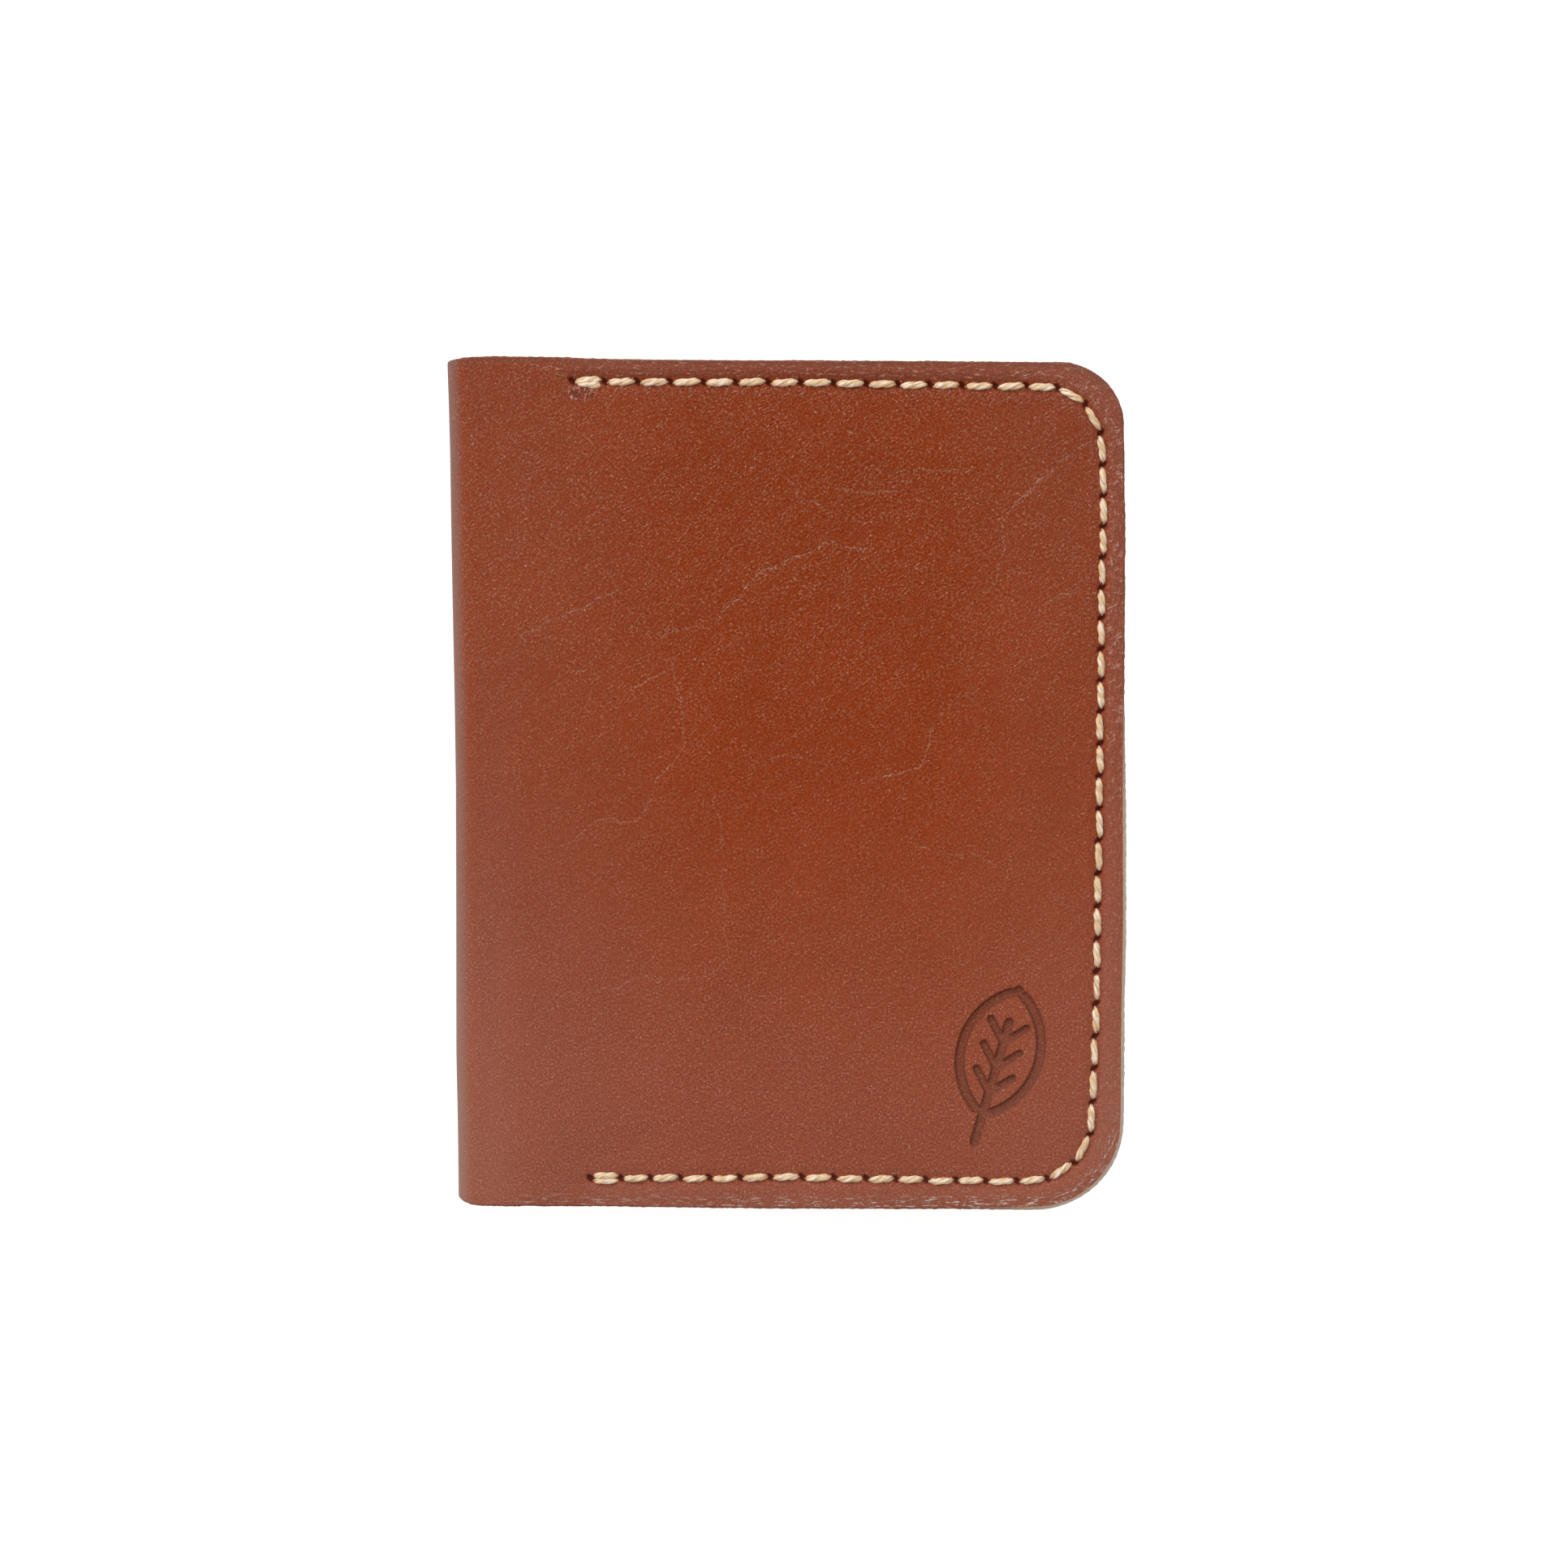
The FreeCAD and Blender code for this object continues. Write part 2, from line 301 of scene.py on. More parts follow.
# ---- faint creases in the front cover's grain --------------------------------
CREASES = (
    # (set, strength, points)
    (0, 0.55, ((-34.8, 16.2), (-31.3, 18.8), (-27, 20.8), (-23, 22.8), (-19.5, 24.6))),
    (0, 0.85, ((-9.9, 19.6), (-6.6, 22.6), (-2.9, 26.3), (1.2, 27.9), (5.5, 29.9), (7.9, 29.3), (12.2, 29.9))),
    (0, 1.0, ((26.6, 33.6), (29.6, 36), (33.3, 39.6), (35.6, 41.4), (38.4, 43))),
    (0, 0.38, ((-15.9, 18.6), (-14.2, 13.6), (-12.9, 9.5), (-13, 4.2), (-15.9, 0.8), (-18, -3.6), (-20.3, -4.9),
               (-23.7, -4.6), (-26.7, -6.9), (-31, -9.3))),
    (1, 0.22, ((-12.9, 4.2), (-8.9, -1.3), (-8.2, -5.3), (-7.8, -10.6), (-7.6, -16.6), (-7.8, -22.4), (-13.6, -24.4),
              (-18.3, -24), (-21.7, -25.4), (-27.7, -26.4), (-32.3, -25.7))),
    (1, 0.55, ((24.3, 12.5), (21.3, 10.5), (19, 8.8), (17.5, 5.5), (16.5, 2.2), (13.5, 1.2), (8.9, 0.2))),
    (1, 0.5, ((-9.9, 19.6), (-14.2, 18.6), (-15.9, 17.5))),
    (1, 0.45, ((-5.9, 39.4), (-1.6, 38.7), (0.5, 37.4), (2.5, 34.9), (6.9, 33.6))),
    (1, 0.4, ((26.6, 33.6), (26.3, 26.9), (24, 22.9))),
    (2, 0.35, ((26.7, 26.6), (31.3, 25.9))),
    (2, 0.4, ((-14.2, 14.2), (-18.3, 12.2), (-20.7, 10.5))),
    (2, 0.3, ((-6.2, 2.2), (-3.6, 2.5), (-0.2, 3.6), (2.5, 3.2), (6.5, 2.2))),
    (2, 0.6, ((-17.2, 43), (-15.2, 45))),
    (2, 0.5, ((-7.9, 44.4), (-6.6, 46))),
    (2, 0.4, ((-27.7, 14.5), (-23.3, 12.8))),
    (2, 0.14, ((-7.8, -22.4), (-4.2, -27.4), (-0.2, -32), (3.2, -36.1))),
    (2, 0.5, ((8, 39.6), (14, 38.6), (20, 39.0), (25, 38.4))),
    (2, 0.45, ((5, 36.9), (12, 36.2), (19, 36.6))),
    (2, 0.4, ((30, 21), (33.5, 23.4), (36.4, 24.0))),
    (0, 0.3, ((14, -6), (19, -8.2), (24, -8.9), (29, -12.0))),
    (1, 0.3, ((-34, 34), (-29, 36.5), (-25, 37.6))),
    (2, 0.8, ((-32.6, 52.3), (-29.8, 51.4), (-27.0, 50.9))),
    (0, 0.6, ((-30.6, 51.3), (-28.6, 50.5), (-26.9, 50.4))),
    (1, 0.6, ((27.2, 48.9), (28.6, 50.4), (31.4, 51.2))),
    (1, 0.5, ((33.6, 49.2), (36.4, 49.6), (38.2, 48.6))),
    (0, 0.5, ((38.6, 44.3), (39.6, 45.6), (40.8, 45.4))),
    (2, 0.5, ((-36.8, 45.5), (-35.9, 45.1))),
)


def spline(points, step=0.25):
    pts = np.array(points, float)
    ext = np.vstack([2 * pts[0] - pts[1], pts, 2 * pts[-1] - pts[-2]])
    out = []
    for i in range(len(pts) - 1):
        a, b, c, d = ext[i:i + 4]
        n = max(2, int(np.hypot(*(c - b)) / step))
        t = np.linspace(0, 1, n, endpoint=False)[:, None]
        out.append(0.5 * (2 * b + (c - a) * t + (2 * a - 5 * b + 4 * c - d) * t ** 2 + (3 * b - a - 3 * c + d) * t ** 3))
    out.append(pts[-1:])
    return np.vstack(out)


def crease_fields(x, y, creases):
    """Per set, the signed distance to the nearest crease and its strength."""
    dist, force = np.full((3, len(x)), 3.0), np.zeros((3, len(x)))
    for k, (group, strength, points) in enumerate(creases):
        line = spline(points)
        w = waves(line[:, 0], line[:, 1], 3.4, 50 + k)
        t = np.gradient(line, axis=0)
        t /= np.hypot(t[:, 0], t[:, 1])[:, None] + 1e-9
        line = line + np.c_[-t[:, 1], t[:, 0]] * (w * 0.22)[:, None]
        lo, hi = line.min(0) - 2.2, line.max(0) + 2.2
        near = np.flatnonzero((x > lo[0]) & (x < hi[0]) & (y > lo[1]) & (y < hi[1]))
        if not len(near):
            continue
        dx = x[near, None] - line[None, :, 0]
        dy = y[near, None] - line[None, :, 1]
        j = np.argmin(dx * dx + dy * dy, 1)
        ax, ay = x[near] - line[j, 0], y[near] - line[j, 1]
        d = -ax * t[j, 1] + ay * t[j, 0]
        along = np.abs(ax * t[j, 0] + ay * t[j, 1])
        far = np.hypot(ax, ay)
        u = j / (len(line) - 1)
        f = strength * sm(0, 0.18, u) * (1 - sm(0.82, 1, u)) * (1 - sm(1.0, 1.8, far)) * (along < 0.6)
        d = np.sign(d) * np.minimum(far, 2.0)
        better = np.abs(d) < np.abs(dist[group][near])
        dist[group][near[better]] = d[better]
        force[group][near[better]] = f[better]
    return dist, force


# ---- placing a cover's points -------------------------------------------------
def to_world(x, y, h, side):
    return np.c_[x, y, THICK + h if side == "front" else -h] * MM


def spine_cut(x):
    """The spine's two ends are cut back a little: slightly at the top, rounder at the bottom."""
    top = 0.30 * (1 - np.clip((x - X0) / 5, 0, 1)) ** 1.5
    k = np.clip((x - X0) / 3.5, 0, 1)
    return top, 0.85 * (1 - np.sqrt(np.clip(1 - (1 - k) ** 2, 0, 1)))


def shell_place(s, y, d, side):
    """Shell leather: s runs along its outer face, over the bend and up the spine."""
    phi = np.clip((FX - s) / FOLD_R, 0, math.pi / 2)
    up = np.clip(S_BEND - s, 0, None)
    r = FOLD_R - d
    x = np.where(s >= FX, s, FX - r * np.sin(phi))
    h = np.where(s >= FX, -d, -FOLD_R + r * np.cos(phi) - up)
    top, bottom = spine_cut(np.where(s >= FX, s, FX - FOLD_R * np.sin(phi)))
    yy = y - np.where(y > 0, top, bottom) * (np.abs(y) / Y1) ** 9 * np.sign(y)
    wx, wy = warp(np.maximum(x, X0), yy)
    wx = wx + lean(yy) * (1 - sm(FX + 1, FX + 38, x)) + (x - np.maximum(x, X0))
    return to_world(wx, wy, h + AMP[side] * pillow(np.maximum(s, FX), y), side)


def plate_place(x, y, h, side, hold=0.0):
    """Anything on a cover: h outward, drawn in with the margins."""
    wx, wy = warp(x, y)
    wx = wx + lean(y) * (1 - sm(FX + 1, FX + 38, x))
    return to_world(wx, wy, h + AMP[side] * pillow(x, y) * (1 - hold), side)


# ---- sheets of leather ----------------------------------------------------------
def cover_loop(left, mouth=None, step=0.32):
    """Counterclockwise outline with outward normals. mouth None: the left side
    abuts another sheet; otherwise it is a cut edge with small round corners,
    and mouth gives the notch's radius, or 0."""
    P = []

    def run(a, b):
        n = max(1, int(math.dist(a, b) / step))
        t = np.linspace(0, 1, n, endpoint=False)[:, None]
        P.append(np.array(a) * (1 - t) + np.array(b) * t)

    def arc(cx, cy, r, a0, a1):
        n = max(2, int(abs(a1 - a0) * r / step))
        t = np.linspace(a0, a1, n, endpoint=False)
        P.append(np.c_[cx + r * np.cos(t), cy + r * np.sin(t)])

    q = math.pi / 2
    r = 0.0 if mouth is None else 1.6
    run((left + r, -Y1), (X1 - R_BOTTOM, -Y1))
    arc(X1 - R_BOTTOM, -Y1 + R_BOTTOM, R_BOTTOM, -q, 0)
    run((X1, -Y1 + R_BOTTOM), (X1, Y1 - R_TOP))
    arc(X1 - R_TOP, Y1 - R_TOP, R_TOP, 0, q)
    run((X1 - R_TOP, Y1), (left + r, Y1))
    if mouth is None:
        start = sum(len(p) for p in P)
        run((left, Y1), (left, -Y1))
        P = np.vstack(P)
        T = np.roll(P, -1, 0) - np.roll(P, 1, 0)
        N = np.c_[T[:, 1], -T[:, 0]] / np.hypot(T[:, 0], T[:, 1])[:, None]
        N[start:] = 0
        N[start], N[0] = (0, 1), (0, -1)
        return P, N
    arc(left + r, Y1 - r, r, q, 2 * q)
    if mouth:
        out = 3.5
        half = math.sqrt(mouth ** 2 - out ** 2)
        yy = np.arange(Y1 - r, -Y1 + r, -0.12)
        xx = np.where(np.abs(yy) < half, left - out + np.sqrt(np.maximum(mouth ** 2 - yy ** 2, 0)), left)
        kernel = np.exp(-(np.arange(-12, 13) * 0.12 / 0.55) ** 2)
        xx = np.convolve(np.pad(xx, 12, mode="edge"), kernel / kernel.sum(), mode="valid")
        line = np.c_[xx, yy]
        along = np.r_[0, np.cumsum(np.hypot(*np.diff(line, axis=0).T))]
        t = np.linspace(0, along[-1], int(along[-1] / step), endpoint=False)
        P.append(np.c_[np.interp(t, along, xx), np.interp(t, along, yy)])
    else:
        run((left, Y1 - r), (left, -Y1 + r))
    arc(left + r, -Y1 + r, r, 2 * q, 3 * q)
    P = np.vstack(P)
    T = np.roll(P, -1, 0) - np.roll(P, 1, 0)
    return P, np.c_[T[:, 1], -T[:, 0]] / np.hypot(T[:, 0], T[:, 1])[:, None]


def triangulate(loop, inner):
    n = len(loop)
    pts = [Vector(p) for p in np.vstack([loop, inner])]
    v, _, f, orig, _, _ = delaunay_2d_cdt(pts, [], [list(range(n))], 1, 1e-5, True)
    back = [o[0] for o in orig]
    tris = np.array([[back[i] for i in t] for t in f])
    # triangles that only bridge a hollow in the outline are dropped
    rim = np.nonzero((tris < n).all(axis=1))[0]
    c = np.vstack([loop, inner])[tris[rim]].mean(axis=1)
    a, b = loop, np.roll(loop, -1, axis=0)
    px, py = c[:, :1], c[:, 1:]
    rise = np.where(b[:, 1] == a[:, 1], 1.0, b[:, 1] - a[:, 1])
    hit = ((a[:, 1] > py) != (b[:, 1] > py)) & (px < (b[:, 0] - a[:, 0]) * (py - a[:, 1]) / rise + a[:, 0])
    tris = np.delete(tris, rim[hit.sum(axis=1) % 2 == 0], axis=0)
    return [tuple(t) for t in tris.tolist()]


def inside(points, loop, margin):
    """Which points lie inside the loop, by at least the margin."""
    x, y = points[:, 0], points[:, 1]
    hit = np.zeros(len(points), bool)
    a, b = loop, np.roll(loop, -1, 0)
    for (ax, ay), (bx, by) in zip(a, b):
        if ay == by:
            continue
        m = (y < max(ay, by)) & (y >= min(ay, by))
        hit[m] ^= x[m] < (bx - ax) * (y[m] - ay) / (by - ay) + ax
    keep = np.flatnonzero(hit)
    ok = np.ones(len(keep), bool)
    coarse = loop[::2]
    for i in range(0, len(keep), 4000):
        k = keep[i:i + 4000]
        d = np.min(np.hypot(x[k, None] - coarse[None, :, 0], y[k, None] - coarse[None, :, 1]), 1)
        ok[i:i + 4000] = d > margin
    return points[keep[ok]]


def hexgrid(x0, x1, y0, y1, h):
    xs, ys = np.arange(x0, x1, h), np.arange(y0, y1, h * 0.866)
    gx, gy = np.meshgrid(xs, ys)
    gx[1::2] += h / 2
    return np.c_[gx.ravel(), gy.ravel()]


def seam_dense():
    """Points along the seam band and round each awl hole."""
    out = []
    P = np.arange(SEAM_P0 - 2.0, SEAM_P1 + 2.0, 0.33)
    x, y, a = seam_point(np.clip(P, -2, SEAM_LEN + 2))
    for k, v in enumerate((-3.4, -2.7, -2.1, -1.6, -1.2, -0.85, -0.55, -0.28, 0, 0.28, 0.55, 0.85, 1.2, 1.6)):
        j = 0.15 * (k % 2)
        out.append(np.c_[x - np.sin(a) * v + np.cos(a) * j, y + np.cos(a) * v + np.sin(a) * j])
    band = np.vstack(out)
    keep = pit(band[:, 0], band[:, 1]) > 1.45
    rings = []
    for hx, hy, ha in zip(HOLE_X, HOLE_Y, HOLE_A):
        c, s = math.cos(ha + SLANT), math.sin(ha + SLANT)
        for q, n in ((0.0, 1), (0.5, 8), (0.78, 14), (0.95, 16), (1.12, 18), (1.35, 18)):
            t = np.linspace(0, 2 * np.pi, n, endpoint=False)
            u, w = PIT_U * q * np.cos(t), PIT_W * q * np.sin(t)
            rings.append(np.c_[hx + u * c - w * s, hy + u * s + w * c])
    return np.vstack([band[keep]] + rings)


def outer_points(loop, N, left, motif_on, seam_on=True, h=0.75):
    parts = [loop - N * a for a in (0.62, 0.92, 1.3)]
    grid = hexgrid(left + 0.3, X1, -Y1, Y1, h)
    e = edge_coords(grid[:, 0], grid[:, 1])[1]
    grid = grid[e > 1.6]
    if seam_on:
        p, v = seam_coords(grid[:, 0], grid[:, 1])
        grid = grid[~((v > -3.7) & (v < 1.9) & (p > SEAM_P0 - 2) & (p < SEAM_P1 + 2))]
        parts.append(seam_dense())
    if motif_on:
        m = motif(grid[:, 0], grid[:, 1])
        grid = grid[m > 0.8]
        fine = hexgrid(MX - 9, MX + 9, MY - 14, MY + 14, 0.15)
        fm = motif(fine[:, 0], fine[:, 1])
        parts.append(fine[(np.abs(fm) < 0.32)])
        mid = hexgrid(MX - 9, MX + 9, MY - 14, MY + 14, 0.34)
        fm = motif(mid[:, 0], mid[:, 1])
        parts.append(mid[(fm >= 0.32) & (fm < 0.95) | (fm <= -0.32)])
    if left < FX:
        bend = []
        for k, s in enumerate(np.arange(left + 0.22, FX + 1.4, 0.24)):
            yy = np.arange(-Y1 + 1.2 + 0.3 * (k % 2), Y1 - 1.0, 0.62)
            bend.append(np.c_[np.full(len(yy), s), yy])
        grid = grid[grid[:, 0] > FX + 1.6]
        parts += bend
    parts.append(grid)
    return np.vstack(parts)


def make_mesh(name, verts, faces, attrs, sharp=None):
    mesh = bpy.data.meshes.new(name)
    mesh.from_pydata(verts.tolist(), [], faces)
    mesh.update()
    for key, value in attrs.items():
        a = mesh.attributes.new(key, "FLOAT_VECTOR", "POINT")
        a.data.foreach_set("vector", np.ascontiguousarray(value, np.float32).ravel())
    mesh.polygons.foreach_set("use_smooth", np.ones(len(mesh.polygons), bool))
    if sharp is not None:
        flags = np.zeros(len(mesh.edges), bool)
        ev = np.empty(len(mesh.edges) * 2, np.int32)
        mesh.edges.foreach_get("vertices", ev)
        ev = ev.reshape(-1, 2)
        flags = sharp[ev[:, 0]] & sharp[ev[:, 1]] if sharp.dtype == bool else (
            (sharp[ev[:, 0]] == sharp[ev[:, 1]]) & (sharp[ev[:, 0]] > 0))
        a = mesh.attributes.get("sharp_edge") or mesh.attributes.new("sharp_edge", "BOOLEAN", "EDGE")
        a.data.foreach_set("value", flags)
    obj = bpy.data.objects.new(name, mesh)
    bpy.context.scene.collection.objects.link(obj)
    return obj


def volume(verts, faces):
    total = 0.0
    tri = np.array([(f[0], f[i], f[i + 1]) for f in faces for i in range(1, len(f) - 1)])
    a, b, c = verts[tri[:, 0]], verts[tri[:, 1]], verts[tri[:, 2]]
    return float((a * np.cross(b, c)).sum())


def sheet(name, loop, N, t, outer, inner, place, f_out, f_in, side, kind, abut=False, ro=0.36, ri=0.18, seed=0):
    """A sheet of leather as one closed mesh. place(s, y, d) puts a flat point at
    depth d below the visible face; f_out and f_in move the faces."""
    n = len(loop)
    p_edge = np.r_[0, np.cumsum(np.hypot(*np.diff(loop, axis=0).T))]
    prof = [(ro, 0.0)]
    for a in (22.5, 45, 67.5, 90):
        a = math.radians(a)
        prof.append((ro * (1 - math.sin(a)), ro * (1 - math.cos(a))))
    levels = 5 if t > 1.2 else 3
    for i in range(1, levels):
        prof.append((-0.02, ro + (t - ro - ri) * i / levels))
    prof.append((0.0, t - ri))
    for a in (45, 90):
        a = math.radians(a)
        prof.append((ri * (1 - math.cos(a)), t - ri + ri * math.sin(a)))
    S, Y, D, wall, rim = [], [], [], [], []
    for k, (a, d) in enumerate(prof):
        jig = 0.0
        if 4 <= k < len(prof) - 3:
            jig = 0.045 * waves(p_edge, np.full(n, d * 2.0), 0.9, seed + 7) + 0.03 * waves(p_edge, np.full(n, d), 6, seed + 8)
        flare = 0.0
        if kind == "shell" and side == "front" and d > ro:
            flare = 0.28 * sm(ro * 0.8, ro + 0.5, d) * sm(18, 33, loop[:, 0]) * (1 - sm(-4, 14, loop[:, 1]))
        q = loop - N * np.reshape(a + jig - flare, (-1, 1))
        S.append(q[:, 0]); Y.append(q[:, 1]); D.append(np.full(n, d))
        wall.append(np.full(n, min(1.0, k / 3.0) if k < len(prof) - 2 else (0.6 if k < len(prof) - 1 else 0.15)))
        rim.append(np.full(n, 0.0 if k < len(prof) - 1 else 1.0))
    count = n * len(prof)
    fo = f_out(outer[:, 0], outer[:, 1])
    S.append(outer[:, 0]); Y.append(outer[:, 1]); D.append(-fo); wall.append(np.zeros(len(outer))); rim.append(np.zeros(len(outer)))
    o0 = count
    count += len(outer)
    S.append(inner[:, 0]); Y.append(inner[:, 1]); D.append(t + f_in(inner[:, 0], inner[:, 1]))
    wall.append(np.zeros(len(inner))); rim.append(np.ones(len(inner)))
    i0 = count
    S, Y, D = np.concatenate(S), np.concatenate(Y), np.concatenate(D)
    wall, rim = np.concatenate(wall), np.concatenate(rim)
    base = f_out(S[:n], Y[:n])
    fade = np.array([1.0, 0.9, 0.7, 0.45, 0.25] + [0.0] * (len(prof) - 5))
    for k in range(len(prof)):
        D[k * n:(k + 1) * n] -= base * fade[k]
    faces = [tuple(i if i < n else i - n + o0 for i in f) for f in triangulate(np.c_[S[:n], Y[:n]], outer)]
    last = (len(prof) - 1) * n
    faces += [tuple((i + last) if i < n else i - n + i0 for i in f)[::-1]
              for f in triangulate(np.c_[S[last:last + n], Y[last:last + n]], inner)]
    for k in range(len(prof) - 1):
        a, b = k * n, (k + 1) * n
        for i in range(n):
            j = (i + 1) % n
            faces.append((a + i, b + i, b + j, a + j))
    verts = place(S, Y, D)
    if volume(verts, faces) < 0:
        faces = [f[::-1] for f in faces]
    pe, e = edge_coords(S, Y)
    ps, v = seam_coords(S, Y)
    pitv = pit(S, Y) if kind == "shell" else np.full(len(S), 9.0)
    pitv[rim > 0.5] = 9.0
    side_in = rim.copy()
    sheet_no = ("shell", "slip", "card").index(kind) + (0 if side == "front" else 3)
    attrs = {
        "lc": np.c_[S, Y, D + 50 * sheet_no],
        "mk": np.c_[wall, side_in, np.minimum(pitv, 3)],
        "ed": np.c_[pe, e, v],
    }
    if kind == "shell":
        if side == "front":
            dist, force = crease_fields(S, Y, CREASES)
            md = np.clip(motif(S, Y), -3, 3)
        else:
            flipped = tuple((g, f * 0.7, tuple((x * 0.8 - 4, -y * 0.9 + 3) for x, y in pts)) for g, f, pts in CREASES[3:16])
            dist, force = crease_fields(S, Y, flipped)
            md = np.full(len(S), 3.0)
        force[:, rim > 0.5] = 0
        md[rim > 0.5] = 3
        attrs["vd"], attrs["vf"] = dist.T, force.T
        on = sm(SEAM_P0 - 2.5, SEAM_P0 + 0.5, ps) * (1 - sm(SEAM_P1 - 0.5, SEAM_P1 + 2.5, ps))
        attrs["sp"] = np.c_[ps / PITCH, on, md]
    else:
        mouth = np.clip(S - (SLIP_X if kind == "slip" else CARD_X), -1, 30)
        if kind == "card":
            k = np.hypot(S - (CARD_X - 3.5), Y) - 9.5
            mouth = np.minimum(mouth, np.clip(k, -1, 30))
        attrs["sp"] = np.c_[ps / PITCH, mouth, np.full(len(S), 3.0)]
    sharp = None
    if abut:
        sharp = np.zeros(len(S), int)
        on_abut = np.abs(S - S_MID) < 1e-6
        sharp[on_abut & (np.arange(len(S)) < n)] = 1
        sharp[on_abut & (np.arange(len(S)) >= last) & (np.arange(len(S)) < last + n)] = 2
    return make_mesh(name, verts, faces, attrs, sharp)


def flat_zero(x, y):
    return np.zeros(len(x))


def inner_grid(loop, left, h, mouth_edge=True):
    grid = hexgrid(left + 0.4, X1, -Y1, Y1, h)
    return inside(grid, loop, 0.55)


def build_shell(side):
    loop, N = cover_loop(S_MID)
    outer = inside(outer_points(loop, N, S_MID, side == "front"), loop - N * 0.36, 0.12)
    inner = inner_grid(loop, S_MID, 1.3)
    inner = inner[inner[:, 0] > FX + 1.0]
    bend = []
    for k, s in enumerate(np.arange(S_MID + 0.4, FX + 1.2, 0.42)):
        yy = np.arange(-Y1 + 1.0 + 0.4 * (k % 2), Y1 - 0.8, 0.9)
        bend.append(np.c_[np.full(len(yy), s), yy])
    inner = np.vstack([inner] + bend)
    seed = 11 if side == "front" else 77

    def place(s, y, d):
        return shell_place(s, y, d, side)

    def f_out(x, y):
        r = relief(np.maximum(x, FX), y, side)
        return r * sm(S_BEND - 0.5, FX + 6, x) + roll(x)

    def f_in(x, y):
        return 0.03 * waves(x, y, 2.5, seed)

    name = f"{side}_shell_leather"
    obj = sheet(name, loop, N, SHELL_T, outer, inner, place, f_out, f_in, side, "shell", abut=True, seed=seed)
    return obj


def lift(x, y, kind):
    e = edge_coords(x, y)[1]
    if kind == "slip":
        return 0.72 * sm(4.4, 9.0, e)
    return 1.50 * sm(4.4, 10.5, e)


def build_pocket(side, kind):
    left = SLIP_X if kind == "slip" else CARD_X
    loop, N = cover_loop(left, 0 if kind == "slip" else 9.5)
    base = -(SHELL_T + PANEL_T) if kind == "slip" else -(SHELL_T + 2 * PANEL_T)
    pts = [loop - N * a for a in (0.55, 0.85, 1.25, 1.6, 2.0)]
    grid = hexgrid(left + 0.3, X1, -Y1, Y1, 0.95)
    outer = inside(np.vstack(pts + [grid[edge_coords(grid[:, 0], grid[:, 1])[1] > 1.2]]), loop - N * 0.28, 0.14)
    inner = inside(hexgrid(left + 0.4, X1, -Y1, Y1, 1.5), loop, 0.6)
    seed = {"front": 100, "rear": 200}[side] + (0 if kind == "slip" else 50)

    def place(x, y, d):
        up = lift(x, y, kind)
        hold = up / (0.72 if kind == "slip" else 1.5)
        return plate_place(x, y, base - up + d, side, hold)

    def f_out(x, y):
        p, v = seam_coords(x, y)
        on = sm(SEAM_P0 - 1, SEAM_P0 + 0.6, p) * (1 - sm(SEAM_P1 - 0.6, SEAM_P1 + 1, p))
        out = -0.10 * np.exp(-(v / 0.9) ** 2) * on
        m = x - left
        if kind == "card":
            m = np.minimum(m, np.hypot(x - (left - 3.5), y) - 9.5)
        out = out - 0.13 * np.exp(-((m - 1.6) / 0.22) ** 2)     # creased line by the mouth
        return out + 0.02 * waves(x, y, 8, seed)

    return sheet(f"{side}_{kind}_pocket_leather", loop, N, PANEL_T, outer, inner, place, f_out, flat_zero,
                 side, kind, ro=0.28, ri=0.14, seed=seed)


# ---- the seam thread --------------------------------------------------------------
def tube_rows(center, normal, side_dir, radius, n, squash=1.0):
    """Rings of points round a path: center (m,3), its frame vectors and radii."""
    t = np.linspace(0, 2 * np.pi, n, endpoint=False)
    return (center[:, None, :] + radius[:, None, None] * (
        np.cos(t)[None, :, None] * side_dir[:, None, :] + squash * np.sin(t)[None, :, None] * normal[:, None, :]))


def add_tube(verts, faces, attrs, rings, tc):
    m, n = rings.shape[:2]
    v0 = len(verts)
    verts.extend(rings.reshape(-1, 3).tolist())
    attrs.extend(tc.reshape(-1, 3).tolist())
    for i in range(m - 1):
        for j in range(n):
            k = (j + 1) % n
            faces.append((v0 + i * n + j, v0 + i * n + k, v0 + (i + 1) * n + k, v0 + (i + 1) * n + j))
    a, b = len(verts), len(verts) + 1
    verts.extend([rings[0].mean(0).tolist(), rings[-1].mean(0).tolist()])
    attrs.extend([tc[0].mean(0).tolist(), tc[-1].mean(0).tolist()])
    for j in range(n):
        k = (j + 1) % n
        faces.append((a, v0 + k, v0 + j))
        faces.append((b, v0 + (m - 1) * n + j, v0 + (m - 1) * n + k))


def stitch_path(length, top, deep, m, rng):
    """(u, h) along one stitch: up out of its hole, along, and down again."""
    e = 0.165 * length
    keys = np.array([(e - 0.12, -deep), (e - 0.10, -0.50), (e - 0.03, -0.22), (e + 0.16, top * 0.60 - 0.02),
                     (e + 0.52, top * 0.97), (length / 2, top * 1.03), (length - e - 0.52, top * 0.97),
                     (length - e - 0.16, top * 0.60 - 0.02), (length - e + 0.03, -0.22), (length - e + 0.10, -0.50),
                     (length - e + 0.12, -deep)])
    keys[4:7, 1] += rng.normal(0, 0.02, 3)
    line = spline(keys, 0.02)
    along = np.r_[0, np.cumsum(np.hypot(*np.diff(line, axis=0).T))]
    t = np.linspace(0, along[-1], m)
    return np.interp(t, along, line[:, 0]), np.interp(t, along, line[:, 1]), t


